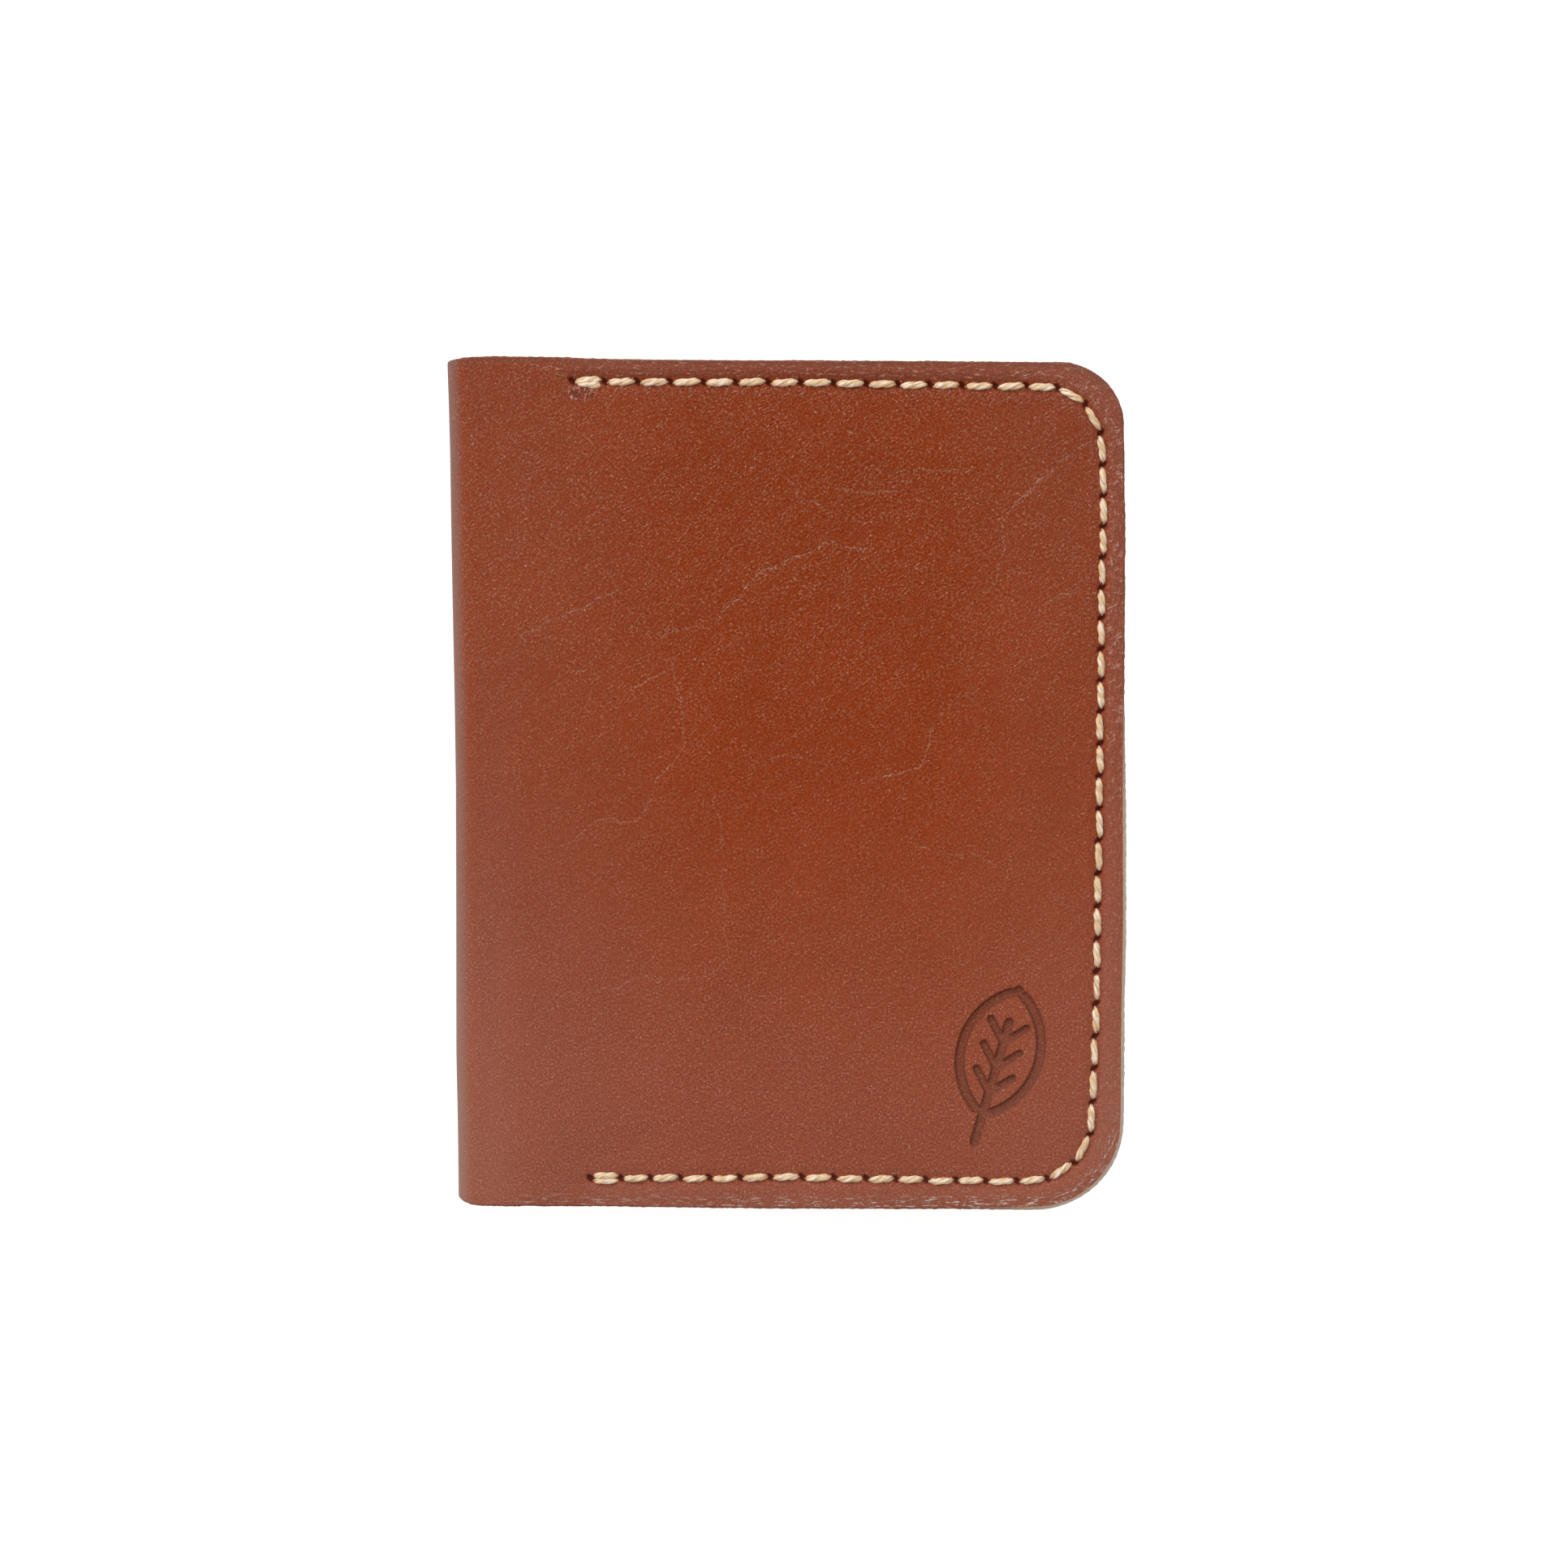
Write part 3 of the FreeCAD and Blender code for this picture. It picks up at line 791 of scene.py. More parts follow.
def build_thread(side):
    """Every stitch of a cover's saddle stitch, three plies each, on both faces."""
    rng = np.random.default_rng(21 if side == "front" else 22)
    verts, faces, attrs = [], [], []

    def stitch(i, shift, bow, r, face, phase, m, n, slant=0.13):
        ax, ay, bx, by = HOLE_X[i], HOLE_Y[i], HOLE_X[i + 1], HOLE_Y[i + 1]
        length = math.hypot(bx - ax, by - ay)
        tx, ty = (bx - ax) / length, (by - ay) / length
        nx, ny = -ty, tx
        u, h, along = stitch_path(length, 0.17 if face == "outer" else 0.22, 1.0 if face == "outer" else 0.7, m, rng)
        w = u / length
        off = shift + slant * (2 * w - 1) + bow * np.sin(np.pi * np.clip(w, 0, 1))
        x, y = ax + tx * u + nx * off, ay + ty * u + ny * off
        if face == "outer":
            level = relief_smooth(x, y, side)
            hh = level + h
            hold = 0.0
        else:
            # the thread steps down off the card pocket's edge onto the slip pocket
            top = SHELL_T + PANEL_T + PANEL_T * sm(CARD_X - 1.3, CARD_X - 0.1, x)
            hh = -top - h + 0.06
            hold = 0.0
        c = plate_place(x, y, hh, side) / MM
        T = np.gradient(c, axis=0)
        T /= np.linalg.norm(T, axis=1)[:, None]
        B = np.tile(np.array([nx, ny, 0.0]), (m, 1))
        Nn = np.cross(B, T)
        Nn /= np.linalg.norm(Nn, axis=1)[:, None]
        squeeze = 1 - 0.26 * sm(0.40, 0.72, np.abs(2 * w - 1))
        lump = 1 + 0.02 * np.sin(along * 3.7 + phase * 3) + 0.02 * rng.normal()
        twist = phase + along * 2 * np.pi / 4.8
        for ply in range(3):
            a = twist + ply * 2 * np.pi / 3
            pc = c + (r * 0.38 * squeeze)[:, None] * (np.cos(a)[:, None] * B + 0.86 * np.sin(a)[:, None] * Nn)
            rad = r * 0.67 * squeeze * lump
            rings = tube_rows(pc, Nn, B, rad, n, 0.92)
            tt = np.linspace(0, 2 * np.pi, n, endpoint=False)
            tc = np.empty((m, n, 3))
            tc[..., 0] = along[:, None] + 7.3 * i + 2.1 * ply
            tc[..., 1] = tt[None, :] - a[:, None] + 0.0
            tc[..., 2] = ply + 3 * i
            add_tube(verts, faces, attrs, rings / 1.0, tc)

    for i in range(STITCHES):
        r = 0.475 if i < 15 else 0.445
        r *= 1 + rng.normal(0, 0.03)
        ph = rng.uniform(0, 6.28)
        if i == 0:
            stitch(i, 0.10, 0.10, r * 0.92, "outer", ph, 26, 9, slant=0.22)
            stitch(i, -0.22, -0.16, r * 0.95, "outer", ph + 2, 26, 9, slant=-0.20)
        elif i == STITCHES - 1:
            stitch(i, 0.30, 0.03, r * 0.86, "outer", ph, 26, 9, slant=0.02)
            stitch(i, -0.32, -0.03, r * 0.86, "outer", ph + 2, 26, 9, slant=0.0)
        else:
            stitch(i, rng.normal(0, 0.03), rng.normal(0, 0.03), r, "outer", ph, 26, 9, slant=0.13 + rng.normal(0, 0.03))
        stitch(i, rng.normal(0, 0.03), rng.normal(0, 0.03), 0.42, "inner", ph, 14, 7, slant=-0.1)
        if i in (0, STITCHES - 1):
            stitch(i, 0.55, 0.05, 0.40, "inner", ph + 1, 14, 7, slant=0)
    V = np.array(verts) * MM
    if volume(V, faces) < 0:
        faces = [f[::-1] for f in faces]
    return make_mesh(f"{side}_seam_stitches", V, faces, {"tc": np.array(attrs)})


def relief_smooth(x, y, side):
    """A fixed level for the outer surface under a stitch, 0.27 mm below its face, without the pits."""
    p, v = seam_coords(x, y)
    return np.full(np.shape(x), -0.27) + 0.0 * v


# ---- shader helper --------------------------------------------------------------------
class Sock:
    def __init__(self, g, s):
        self.g, self.s = g, s

    def _m(self, op, *others, clamp=False):
        n = self.g.tree.nodes.new("ShaderNodeMath")
        n.operation, n.use_clamp = op, clamp
        for k, o in enumerate((self,) + others):
            self.g.put(o, n.inputs[k])
        return Sock(self.g, n.outputs[0])

    def __add__(self, o): return self._m("ADD", o)
    __radd__ = __add__
    def __sub__(self, o): return self._m("SUBTRACT", o)
    def __rsub__(self, o): return self.g.num(o)._m("SUBTRACT", self)
    def __mul__(self, o): return self._m("MULTIPLY", o)
    __rmul__ = __mul__
    def __truediv__(self, o): return self._m("DIVIDE", o)
    def __neg__(self): return self._m("MULTIPLY", -1.0)
    def abs(self): return self._m("ABSOLUTE")
    def pow(self, e): return self._m("POWER", e)
    def sin(self): return self._m("SINE")
    def max(self, o): return self._m("MAXIMUM", o)
    def min(self, o): return self._m("MINIMUM", o)
    def clamp(self): return self._m("ADD", 0.0, clamp=True)

    def ramp(self, a, b, lo=0.0, hi=1.0):
        """Smoothstep from lo to hi as the value goes from a to b."""
        n = self.g.tree.nodes.new("ShaderNodeMapRange")
        n.interpolation_type = "SMOOTHSTEP"
        rising = b > a
        self.g.put(self, n.inputs["Value"])
        n.inputs["From Min"].default_value = a if rising else b
        n.inputs["From Max"].default_value = b if rising else a
        n.inputs["To Min"].default_value = lo if rising else hi
        n.inputs["To Max"].default_value = hi if rising else lo
        return Sock(self.g, n.outputs["Result"])


class Graph:
    def __init__(self, name):
        self.mat = bpy.data.materials.new(name)
        self.mat.use_nodes = True
        self.tree = self.mat.node_tree
        self.tree.nodes.clear()
        self.out = self.tree.nodes.new("ShaderNodeOutputMaterial")
        self.bsdf = self.tree.nodes.new("ShaderNodeBsdfPrincipled")
        self.tree.links.new(self.bsdf.outputs[0], self.out.inputs[0])

    def put(self, value, socket):
        if isinstance(value, Sock):
            self.tree.links.new(value.s, socket)
        else:
            socket.default_value = value

    def num(self, v):
        n = self.tree.nodes.new("ShaderNodeValue")
        n.outputs[0].default_value = v
        return Sock(self, n.outputs[0])

    def attr(self, name):
        n = self.tree.nodes.new("ShaderNodeAttribute")
        n.attribute_name = name
        sep = self.tree.nodes.new("ShaderNodeSeparateXYZ")
        self.tree.links.new(n.outputs["Vector"], sep.inputs[0])
        return Sock(self, n.outputs["Vector"]), [Sock(self, o) for o in sep.outputs]

    def vec(self, x, y, z):
        n = self.tree.nodes.new("ShaderNodeCombineXYZ")
        for k, v in enumerate((x, y, z)):
            self.put(v, n.inputs[k])
        return Sock(self, n.outputs[0])

    def noise(self, v, scale, detail=2.0, rough=0.5, distort=0.0):
        n = self.tree.nodes.new("ShaderNodeTexNoise")
        n.noise_dimensions = "3D"
        self.put(v, n.inputs["Vector"])
        n.inputs["Scale"].default_value = scale
        n.inputs["Detail"].default_value = detail
        n.inputs["Roughness"].default_value = rough
        n.inputs["Distortion"].default_value = distort
        return Sock(self, n.outputs[0])

    def voronoi(self, v, scale, feature="F1", rand=1.0, smooth=0.3):
        n = self.tree.nodes.new("ShaderNodeTexVoronoi")
        n.feature = feature
        self.put(v, n.inputs["Vector"])
        n.inputs["Scale"].default_value = scale
        n.inputs["Randomness"].default_value = rand
        if feature == "SMOOTH_F1":
            n.inputs["Smoothness"].default_value = smooth
        return Sock(self, n.outputs["Distance"])

    def mix(self, f, a, b):
        n = self.tree.nodes.new("ShaderNodeMix")
        n.data_type = "RGBA"
        n.clamp_factor = True
        self.put(f, n.inputs[0])
        for value, socket in ((a, n.inputs[6]), (b, n.inputs[7])):
            if isinstance(value, Sock):
                self.tree.links.new(value.s, socket)
            else:
                socket.default_value = (*value, 1.0)
        return Sock(self, n.outputs[2])

    def tint(self, color, factor):
        """A colour times a number."""
        n = self.tree.nodes.new("ShaderNodeVectorMath")
        n.operation = "SCALE"
        self.put(color, n.inputs[0])
        self.put(factor, n.inputs["Scale"])
        return Sock(self, n.outputs[0])

    def finish(self, color, rough, height_mm, **fixed):
        self.put(color, self.bsdf.inputs["Base Color"])
        self.put(rough, self.bsdf.inputs["Roughness"])
        if height_mm is not None:
            b = self.tree.nodes.new("ShaderNodeBump")
            b.inputs["Strength"].default_value = 1.0
            b.inputs["Distance"].default_value = 0.001
            self.put(height_mm, b.inputs["Height"])
            self.tree.links.new(b.outputs[0], self.bsdf.inputs["Normal"])
        for key, value in fixed.items():
            self.bsdf.inputs[key.replace("_", " ")].default_value = value
        return self.mat


def lin(r, g, b):
    """Linear colour from 0-255 display numbers."""
    return tuple(((c / 255 + 0.055) / 1.055) ** 2.4 if c > 10 else c / 255 / 12.92 for c in (r, g, b))


COGNAC = (0.241, 0.0340, 0.0036)
COGNAC_DEEP = (0.172, 0.0155, 0.0006)
# painted highlight colour: the grain's glints, specks, curls and crease lines
COGNAC_PAINTED_HIGHLIGHT = (0.66, 0.42, 0.29)
COGNAC_LIGHT = (0.60, 0.34, 0.22)
# painted shade colour for the grain's creases
CREASE_PAINTED_SHADE = (0.120, 0.018, 0.006)
# painted shade colour for the awl holes
HOLE_PAINTED_SHADE = (0.172, 0.025, 0.012)
EDGE_BURNISHED = (0.130, 0.034, 0.016)
EDGE_RAW = (0.61, 0.485, 0.375)
FLESH = (0.36, 0.17, 0.085)
# pale colour for real scuffs and crazing, and for painted highlights on wrinkles and crimps
SCUFF_AND_PAINTED_HIGHLIGHT = (0.72, 0.58, 0.50)


def leather(name, kind):
    """Vegetable-tanned leather: grain side, cut edge and flesh side in one."""
    g = Graph(name)
    lc, (s, y, d) = g.attr("lc")
    # the sheets differ by 50 in depth, so each has a patch of grain of its own
    other = (d * 0.02 + 0.1)._m("FLOOR")
    d = d - other * 50.0
    mk, (wall, inner, pitq) = g.attr("mk")
    ed, (pe, e, v) = g.attr("ed")
    sp, (ps, on, md) = g.attr("sp")
    a = math.radians(45)
    rx = s * math.cos(a) + y * math.sin(a)
    ry = y * math.cos(a) - s * math.sin(a)
    other = other * 37.0
    flat = g.vec(s, y, other)
    # how open the grain is: pebbled in the upper half, smoother below; it also sets how strong the painted glints and
    # the painted shade in the grain's creases are
    patch = g.noise(flat, 0.075, 2)
    open_ = (y + (patch - 0.5) * 55.0).ramp(-45.0, 25.0, 0.28, 1.0)
    bend = g.noise(flat, 0.30, 3, 0.6) - 0.5
    gx, gy = rx + bend * 1.4, ry - bend * 1.4
    pebble = g.voronoi(g.vec(gx * 3.0, gy * 4.3, other), 1.0, "F1", 1.0)
    dome = 1.0 - pebble.ramp(0.0, 0.62)
    cell = g.voronoi(g.vec(gx * 0.95, gy * 1.6, other), 1.0, "DISTANCE_TO_EDGE", 1.0)
    crease = cell.ramp(0.0, 0.15, 1.0, 0.0)
    streak = g.noise(g.vec(gx * 0.28, gy * 0.95, other + 5.0), 1.0, 2, 0.55)
    dash = g.noise(g.vec(gx * 2.1, gy * 6.5, other + 2.0), 1.0, 2, 0.6)
    speck = dash.ramp(0.57, 0.67) * streak.ramp(0.34, 0.60, 0.25, 1.0)
    mott = g.noise(flat, 0.075, 2, 0.5)
    mott2 = g.noise(flat, 0.42, 3, 0.6)
    dust = g.noise(g.vec(gx * 0.85, gy * 1.15, other), 2.6, 5, 0.78)
    # the finest grain: painted glints (painted highlights, made stronger towards the top) on a deep dyed ground, drawn
    # out along the grain where it is open
    fine = g.noise(g.vec(gx * 3.1, gy * 4.5, other), 1.0, 2, 0.65) * open_
    fine = fine + (g.noise(flat, 3.8, 2, 0.65) * 2.2 - 0.6) * (1.0 - open_)
    level = 0.99 + (mott - 0.5) * 0.18 + (mott2 - 0.5) * 0.14 + (dust - 0.5) * 0.5
    color = g.mix(fine.ramp(0.56, 0.26) * 0.95, COGNAC, COGNAC_DEEP)
    color = g.tint(color, level)
    # the creases between the pebbles are darkened: painted shade
    color = g.mix(crease * open_ * 0.14 * streak.ramp(0.3, 0.6), color, CREASE_PAINTED_SHADE)
    painted_glint = (fine - 0.47).ramp(0.0, 0.40, 0.0, 0.40)
    painted_glint = (painted_glint * painted_glint * 4.4 + painted_glint * 0.26) * y.ramp(0.0, 38.0, 1.0, 1.22) * streak.ramp(0.30, 0.62, 0.45, 1.25) * (0.10 + open_ * 1.00)
    color = g.tint(color, 1.06 + (fine - 0.5) * (0.62 - open_ * 0.42))
    color = g.mix(painted_glint, color, COGNAC_PAINTED_HIGHLIGHT)
    # painted highlights on specks of the open grain
    color = g.mix(speck * open_ * 0.22, color, COGNAC_PAINTED_HIGHLIGHT)
    # curly wrinkles in the smoother grain, lightened as painted highlights
    curl = g.noise(g.vec(gx * 1.5, gy * 2.9, other + 8.0), 1.0, 3, 0.6)
    curl = (curl - 0.5).abs().ramp(0.0, 0.05, 1.0, 0.0)
    smooth = 1.0 - open_ * 0.75
    color = g.mix(curl * smooth * 0.05, color, COGNAC_PAINTED_HIGHLIGHT)
    height = (dome * 0.030 - crease * 0.006 + speck * 0.010) * open_ + mott2 * 0.05 + dust * 0.045 + fine * 0.030 + curl * smooth * 0.012
    rough = 0.40 + mott2 * 0.10 + crease * 0.05
    if kind == "shell":
        # faint creases: a darkened groove beside each is painted shade, and the thin line along it and the grain beside
        # it are lightened as painted highlights
        vd, ds = g.attr("vd")
        vf, fs = g.attr("vf")
        wig = (g.noise(flat, 1.7, 3, 0.6) - 0.5) * 0.55
        gap = g.noise(flat, 1.0, 3, 0.6).ramp(0.42, 0.56, 0.08, 1.0)
        lines, ridge = None, None
        for k in range(3):
            q = (ds[k] + wig).abs()
            m = q.ramp(0.02, 0.12, 1.0, 0.0) * fs[k] * gap
            w = (ds[k] + wig + 0.12).abs().ramp(0.0, 0.40, 1.0, 0.0) * fs[k]
            lines = m if lines is None else lines.max(m)
            ridge = w if ridge is None else ridge.max(w)
        color = g.mix(ridge * 0.22, color, CREASE_PAINTED_SHADE)
        color = g.mix(lines * fine.ramp(0.34, 0.56, 0.11, 0.44), color, COGNAC_PAINTED_HIGHLIGHT)
        color = g.mix(ridge * gap * fine.ramp(0.45, 0.70) * 0.46, color, COGNAC_PAINTED_HIGHLIGHT)
        height = height + lines * 0.04 - ridge * 0.05
        # the margin outside the seam is rubbed, and painted a little paler and pinker as a painted reflection; its
        # cross wrinkles are lightened as painted highlights
        band = v.ramp(0.3, 1.2) * on * s.ramp(-30.0, -18.0, 0.35, 1.0)
        color = g.mix(band * y.ramp(-45.0, -49.0, 0.27, 0.15), color, lin(150, 100, 84))
        # colour darkened just outside the top run of the seam
        color = g.tint(color, 1.0 - v.ramp(0.2, 0.7) * v.ramp(2.4, 0.9) * on * y.ramp(43.0, 47.0) * s.ramp(34.0, 26.0) * 0.20)
        rough = rough + band * 0.10
        cross = g.noise(g.vec(pe * 1.9 + v * 0.7, v * 0.7, 7.0), 1.0, 3, 0.66)
        wr = cross.ramp(0.60, 0.63) * cross.ramp(0.70, 0.65)
        right = s.ramp(34.0, 38.0) * y.ramp(-10.0, 22.0, 0.10, 1.0)
        color = g.mix(wr * band * right * 0.36, color, SCUFF_AND_PAINTED_HIGHLIGHT)
        height = height + (cross - 0.5) * band * right * 0.14
        # rubbed streaks that run along the margin
        streaks = g.noise(g.vec(pe * 0.9, v * 3.2, 21.0), 1.0, 4, 0.7)
        rubbed = band * y.ramp(-15.0, 20.0, 0.40, 1.0)
        color = g.tint(color, 1.0 + (streaks - 0.5) * rubbed * 1.3)
        color = g.mix(streaks.ramp(0.58, 0.66) * rubbed * 0.37, color, SCUFF_AND_PAINTED_HIGHLIGHT)
        # crimped leather just inside the seam, its crests lightened as painted highlights
        crimp = g.noise(g.vec(rx * 2.6, ry * 5.4, 11.0), 1.0, 3, 0.65)
        near = v.ramp(-2.4, -0.9) * v.ramp(-0.25, -0.55) * on * y.ramp(35.0, 46.0, 0.15, 1.0)
        cm = crimp.ramp(0.56, 0.64)
        color = g.mix(cm * near * 0.26, color, SCUFF_AND_PAINTED_HIGHLIGHT)
        height = height + (crimp - 0.5) * near * 0.16
        # whitish crazing along the bottom edge
        craze = g.noise(g.vec(pe * 0.55, e * 4.2, 4.0), 1.0, 5, 0.72)
        low = (y.ramp(-38.0, -49.5) * e.ramp(0.05, 0.28) * e.ramp(2.0, 0.8) * s.ramp(-15.0, 24.0, 0.45, 1.0)
               * s.ramp(-38.0, -30.0))
        cz = craze.ramp(0.540, 0.568) * g.noise(g.vec(pe * 1.6, e * 2.0, 9.0), 1.0, 2).ramp(0.36, 0.52)
        color = g.mix(cz * low, color, SCUFF_AND_PAINTED_HIGHLIGHT)
        height = height + cz * low * 0.03
        # the top rim is darker and bruised, and the grain is crinkled under the first stitch, with painted shade in the
        # crinkles' hollows and painted highlights on their crests
        front = other.ramp(0.0, 1.0, 1.0, 0.0)
        fuzz = g.noise(g.vec(pe * 3.2, e * 2.2, 13.0), 1.0, 3, 0.65)
        rim = y.ramp(47.5, 50.0) * (e + (fuzz - 0.5) * 1.4).ramp(1.5, 0.1)
        color = g.mix(rim * 0.42, color, (0.125, 0.052, 0.036))
        cx, cy = (s + 25.2) * 0.50, (y - 48.0) * 0.90
        spot = (cx * cx + cy * cy).ramp(1.0, 0.35) * front * v.ramp(-0.40, -0.60)
        fold = g.noise(g.vec((s * 0.87 - y * 0.5) * 4.2, (s * 0.5 + y * 0.87) * 1.3, 17.0), 1.0, 2, 0.6)
        color = g.mix(spot * fold.ramp(0.52, 0.44) * 0.50, color, (0.045, 0.012, 0.007))
        color = g.mix(spot * fold.ramp(0.55, 0.62) * 0.50, color, SCUFF_AND_PAINTED_HIGHLIGHT)
        height = height + (fold - 0.5) * spot * 0.22
        # the fold's own fine wrinkles, slanting down to the right, lightened on their crests and darkened in their
        # hollows as painted light and shade
        fa = math.radians(-52)
        fl = g.noise(g.vec((s * math.cos(fa) + y * math.sin(fa)) * 0.45, (y * math.cos(fa) - s * math.sin(fa)) * 2.3, 3.0),
                     1.0, 3, 0.62)
        near_fold = s.ramp(-33.0, -38.5) * y.ramp(40.0, 0.0, 0.35, 1.0)
        height = height + (fl - 0.5) * near_fold * 0.11
        color = g.tint(color, 1.0 + (fl - 0.5) * near_fold * 0.35)
        # a pale grey painted reflection along the fold's curve towards the spine
        fold_painted_reflection = s.ramp(-39.8, -42.0) * s.ramp(-45.2, -43.4, 0.12, 1.0)
        color = g.mix(fold_painted_reflection * 0.40, color, (0.235, 0.205, 0.18))
        # motif: darker inside the pressed strokes, and darker still at their walls as painted shade
        pressed = md.ramp(0.10, -0.10)
        color = g.tint(color, 1.0 - pressed * 0.34)
        motif_wall_shade = md.ramp(-0.32, 0.02) * md.ramp(0.20, 0.0)
        color = g.tint(color, 1.0 - motif_wall_shade * 0.30)
        height = height * (1.0 - pressed * 0.5)
        # awl holes: their pits are painted dark and a ring round each is darkened, both painted shade
        hole = pitq.ramp(1.05, 0.92) * (1.0 - inner)
        hole_ring_shade = pitq.ramp(1.7, 1.0) * (1.0 - inner)
        color = g.tint(color, 1.0 - hole_ring_shade * 0.12)
        color = g.mix(hole, color, HOLE_PAINTED_SHADE)
        rough = rough + hole * 0.3
        # painted shade: darker towards the head and over the lower left; painted reflection: a pale pinkish veil over
        # the low end, the left half and the right side
        color = g.tint(color, 1.0 - y.ramp(5.0, 52.0) * 0.09 - s.ramp(-8.0, -38.0) * y.ramp(45.0, -15.0) * 0.09)
        painted_reflection_veil = y.ramp(8.0, -54.0, 0.0, 1.0) * s.ramp(-38.0, -8.0, 0.085, 0.115)
        painted_reflection_veil = painted_reflection_veil + s.ramp(-32.0, -38.0) * y.ramp(30.0, -40.0) * 0.055
        painted_reflection_veil = painted_reflection_veil + s.ramp(-6.0, -36.0) * y.ramp(-40.0, 45.0, 0.075, 0.046) + s.ramp(16.0, 36.0) * 0.040
        color = g.mix(painted_reflection_veil * (1.0 - hole * 0.6), color, lin(196, 150, 134))
    else:
        line = (on - 1.6).abs().ramp(0.05, 0.26, 1.0, 0.0)
        color = g.tint(color, 1.0 - line * 0.35)
    # cut edge
    fib = g.noise(g.vec(pe * 3.4, e * 6.0, d * 6.0), 1.0, 4, 0.65)
    layer = g.noise(g.vec(pe * 0.55, other, d * 2.6), 1.0, 3, 0.6)
    edge = g.mix(layer.ramp(0.3, 0.7, 0.25, 0.85), EDGE_BURNISHED, (0.30, 0.125, 0.065))
    edge = g.tint(edge, 0.84 + fib * 0.32)
    raw = s.ramp(20.0, 36.0) * y.ramp(20.0, -8.0) * fib.ramp(0.25, 0.5, 0.6, 1.0) * other.ramp(0.0, 1.0, 1.0, 0.3)
    edge = g.mix(raw * 0.85, edge, EDGE_RAW)
    w = (wall - (fib - 0.5) * 0.5).ramp(0.35, 0.75)
    color = g.mix(w, color, edge)
    height = height * (1.0 - w) + (fib * 0.07 + layer * 0.05) * w
    # flesh side
    nap = g.noise(flat, 2.6, 4, 0.7)
    nap2 = g.noise(flat, 0.3, 3)
    flesh = g.tint(g.mix(nap2.ramp(0.3, 0.7), FLESH, (0.30, 0.13, 0.065)), 0.72 + nap * 0.56)
    f = inner * (1.0 - w)
    color = g.mix(f, color, flesh)
    height = height * (1.0 - f) + nap * 0.12 * f
    rough = rough * (1.0 - f.max(w)) + f * 0.9 + w * (1.0 - f) * 0.62
    return g.finish(color, rough, height, IOR=1.5, Specular_IOR_Level=0.06,
                    Sheen_Weight=0.01, Sheen_Roughness=0.30)


def thread_material():
    g = Graph("waxed_thread")
    tc, (u, a, k) = g.attr("tc")
    fibre = g.noise(g.vec(u * 0.7, a * 2.6, k * 3.7), 1.0, 3, 0.6)
    fine = g.noise(g.vec(u * 1.3, a * 6.0, k * 1.3), 1.0, 2, 0.6)
    tone = g.noise(g.vec(u * 0.35, k * 9.1, 0.0), 1.0, 2)
    color = g.mix(fibre.ramp(0.30, 0.68), (0.53, 0.295, 0.115), (0.84, 0.595, 0.34))
    # whitish patches on the thread: painted highlights
    thread_painted_highlight = g.noise(g.vec(u * 0.9, a * 1.0, k * 5.3 + 9.0), 1.0, 2)
    color = g.mix(thread_painted_highlight.ramp(0.48, 0.60) * 0.66, color, (0.94, 0.85, 0.74))
    color = g.tint(color, 0.88 + tone * 0.24)
    color = g.tint(color, 0.86 + fine * 0.28)
    return g.finish(color, 0.33 + fibre * 0.12, fibre * 0.03 + fine * 0.025, IOR=1.5, Specular_IOR_Level=0.7,
                    Sheen_Weight=0.12, Sheen_Roughness=0.5)


# ---- build -------------------------------------------------------------------------------
leather_shell = leather("shell_leather", "shell")
leather_pocket = leather("pocket_leather", "pocket")
thread_mat = thread_material()

made = {}
for side in ("front", "rear"):
    shell = build_shell(side)
    shell.data.materials.append(leather_shell)
    made[side, "shell"] = shell
    for kind in ("slip", "card"):
        p = build_pocket(side, kind)
        p.data.materials.append(leather_pocket)
        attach(p, f"{side}_cover")
        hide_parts(f"{side}_{kind}_pocket")
        made[side, kind] = p
    th = build_thread(side)
    th.data.materials.append(thread_mat)
    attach(th, f"{side}_cover")
    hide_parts(f"{side}_seam_thread")
    made[side, "thread"] = th

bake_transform(made["rear", "shell"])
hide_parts("rear_shell_panel", "rear_fold_bend", "spine_strip")
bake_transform(made["front", "shell"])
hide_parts("front_shell_panel", "front_fold_bend")

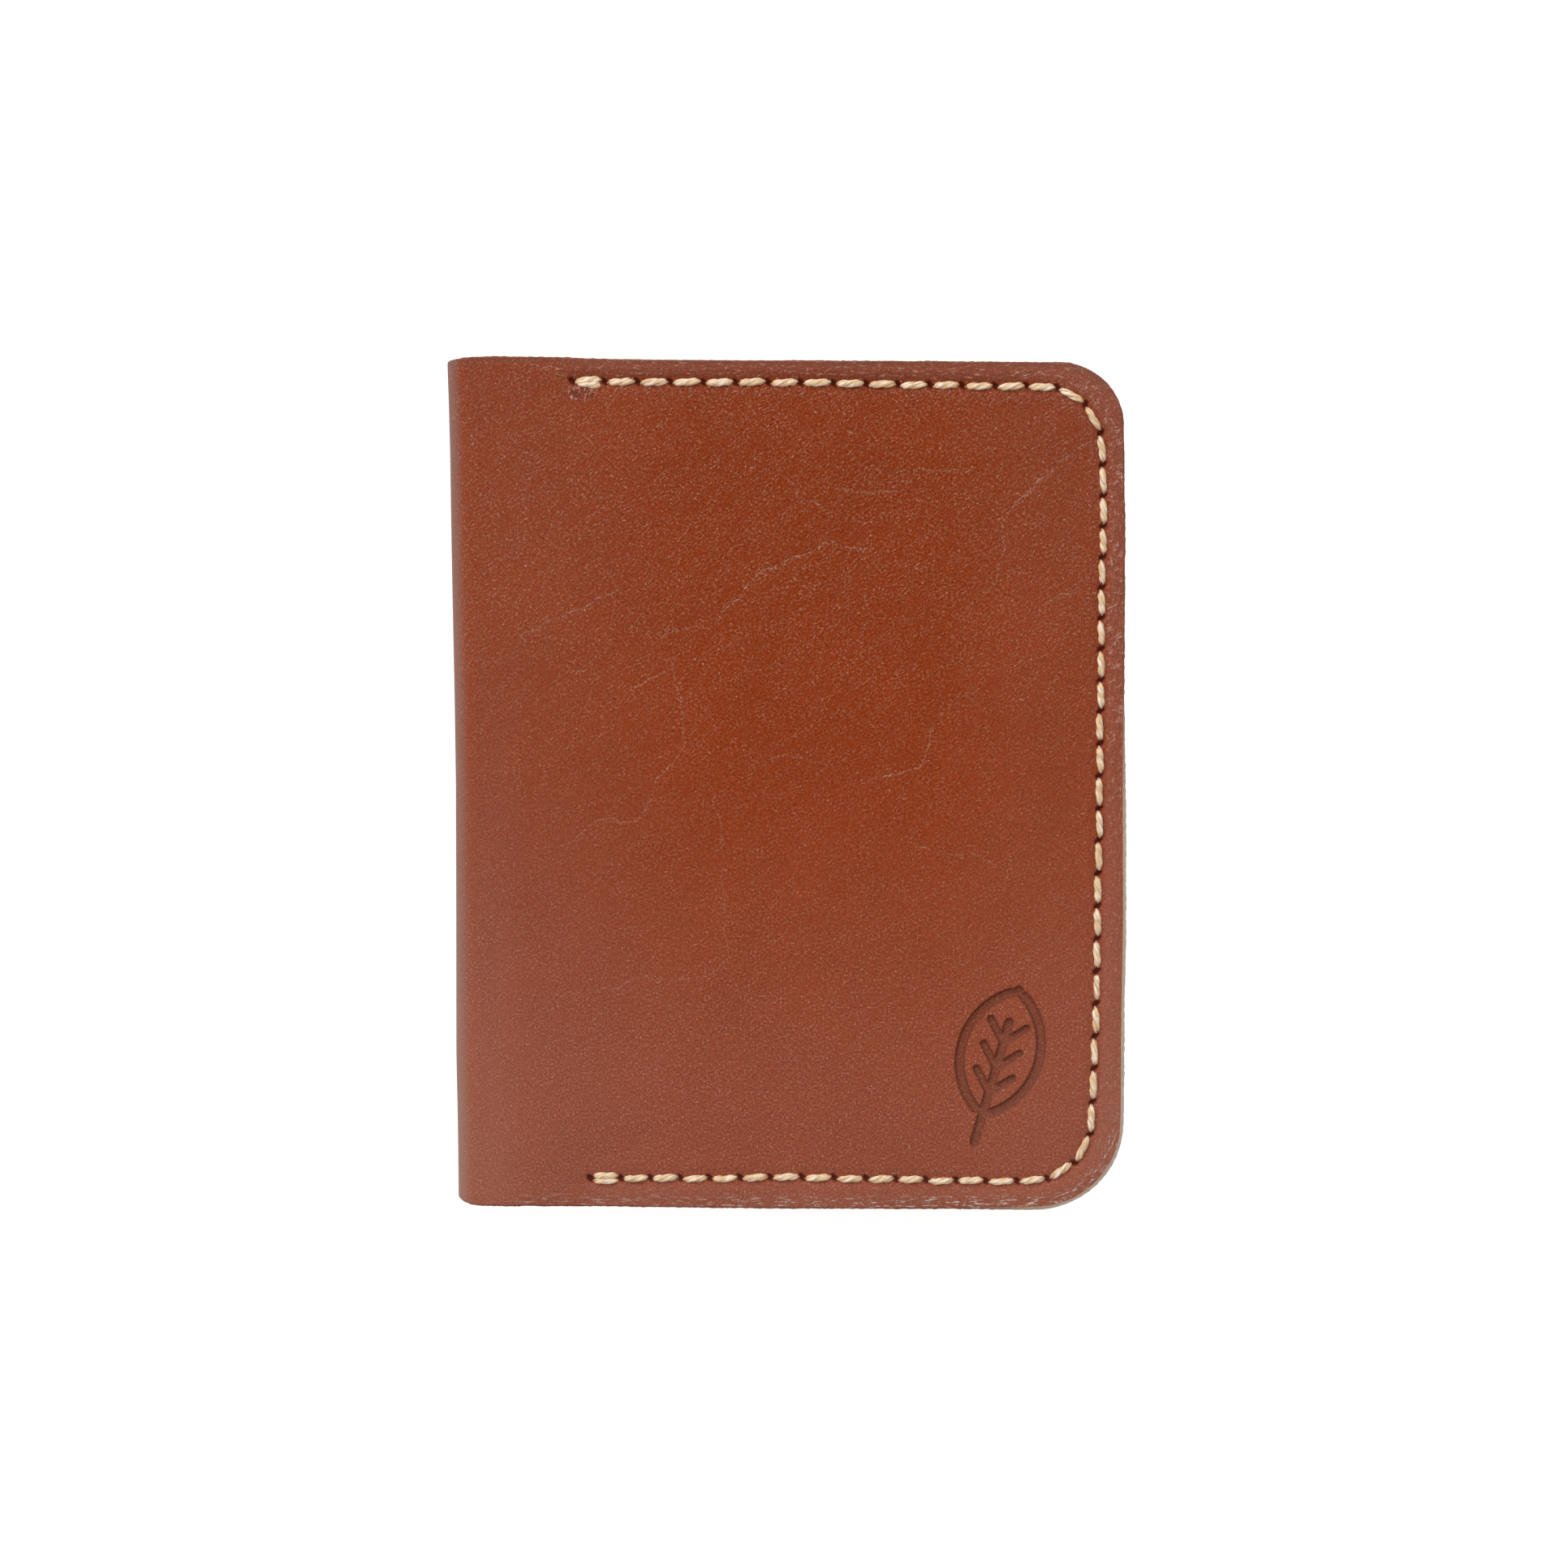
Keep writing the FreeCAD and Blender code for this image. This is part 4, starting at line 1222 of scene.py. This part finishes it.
# ---- floor, light and camera -----------------------------------------------------------------
floor_mesh = bpy.data.meshes.new("floor")
floor_mesh.from_pydata([(-3, -3, 0), (3, -3, 0), (3, 3, 0), (-3, 3, 0)], [], [(0, 1, 2, 3)])
floor = bpy.data.objects.new("floor", floor_mesh)
floor.location.z = -0.00024
bpy.context.scene.collection.objects.link(floor)
fm = bpy.data.materials.new("floor")
fm.use_nodes = True
fb = fm.node_tree.nodes["Principled BSDF"]
fb.inputs["Base Color"].default_value = (0.32, 0.32, 0.32, 1)
fb.inputs["Roughness"].default_value = 0.9
fb.inputs["Specular IOR Level"].default_value = 0.1
fb.inputs["Emission Color"].default_value = (1, 1, 1, 1)
fb.inputs["Emission Strength"].default_value = 0.86
floor_mesh.materials.append(fm)

world = bpy.data.worlds.new("studio")
bpy.context.scene.world = world
world.use_nodes = True
bg = world.node_tree.nodes["Background"]
bg.inputs["Color"].default_value = (1, 1, 1, 1)
bg.inputs["Strength"].default_value = 0.40


def softbox(name, loc, target, size, power):
    light = bpy.data.lights.new(name, "AREA")
    light.shape, light.size, light.size_y = "RECTANGLE", size[0], size[1]
    light.energy = power
    obj = bpy.data.objects.new(name, light)
    obj.location = loc
    obj.rotation_euler = (Vector(target) - Vector(loc)).to_track_quat("-Z", "Y").to_euler()
    obj.visible_camera = False
    bpy.context.scene.collection.objects.link(obj)
    return obj


softbox("key", (-0.40, 0.92, 0.92), (0, 0, 0), (2.0, 1.2), 20.6)
softbox("low", (0.22, -0.50, 0.75), (0, 0, 0), (0.7, 0.35), 1.3)
softbox("side", (-0.60, 0.0, 0.10), (0, 0, 0), (0.10, 0.8), 0.5)

cam = bpy.data.cameras.new("camera")
cam.sensor_width = 36
D = 0.500
cam.lens = 36 * D / 0.1943
cam_obj = bpy.data.objects.new("camera", cam)
cam_obj.location = (-0.00025, -0.00015, THICK * MM + D)
cam_obj.rotation_euler = (0, 0, 0)
cam.clip_start = 0.01
bpy.context.scene.collection.objects.link(cam_obj)
bpy.context.scene.camera = cam_obj
bpy.context.scene.view_settings.view_transform = "Standard"
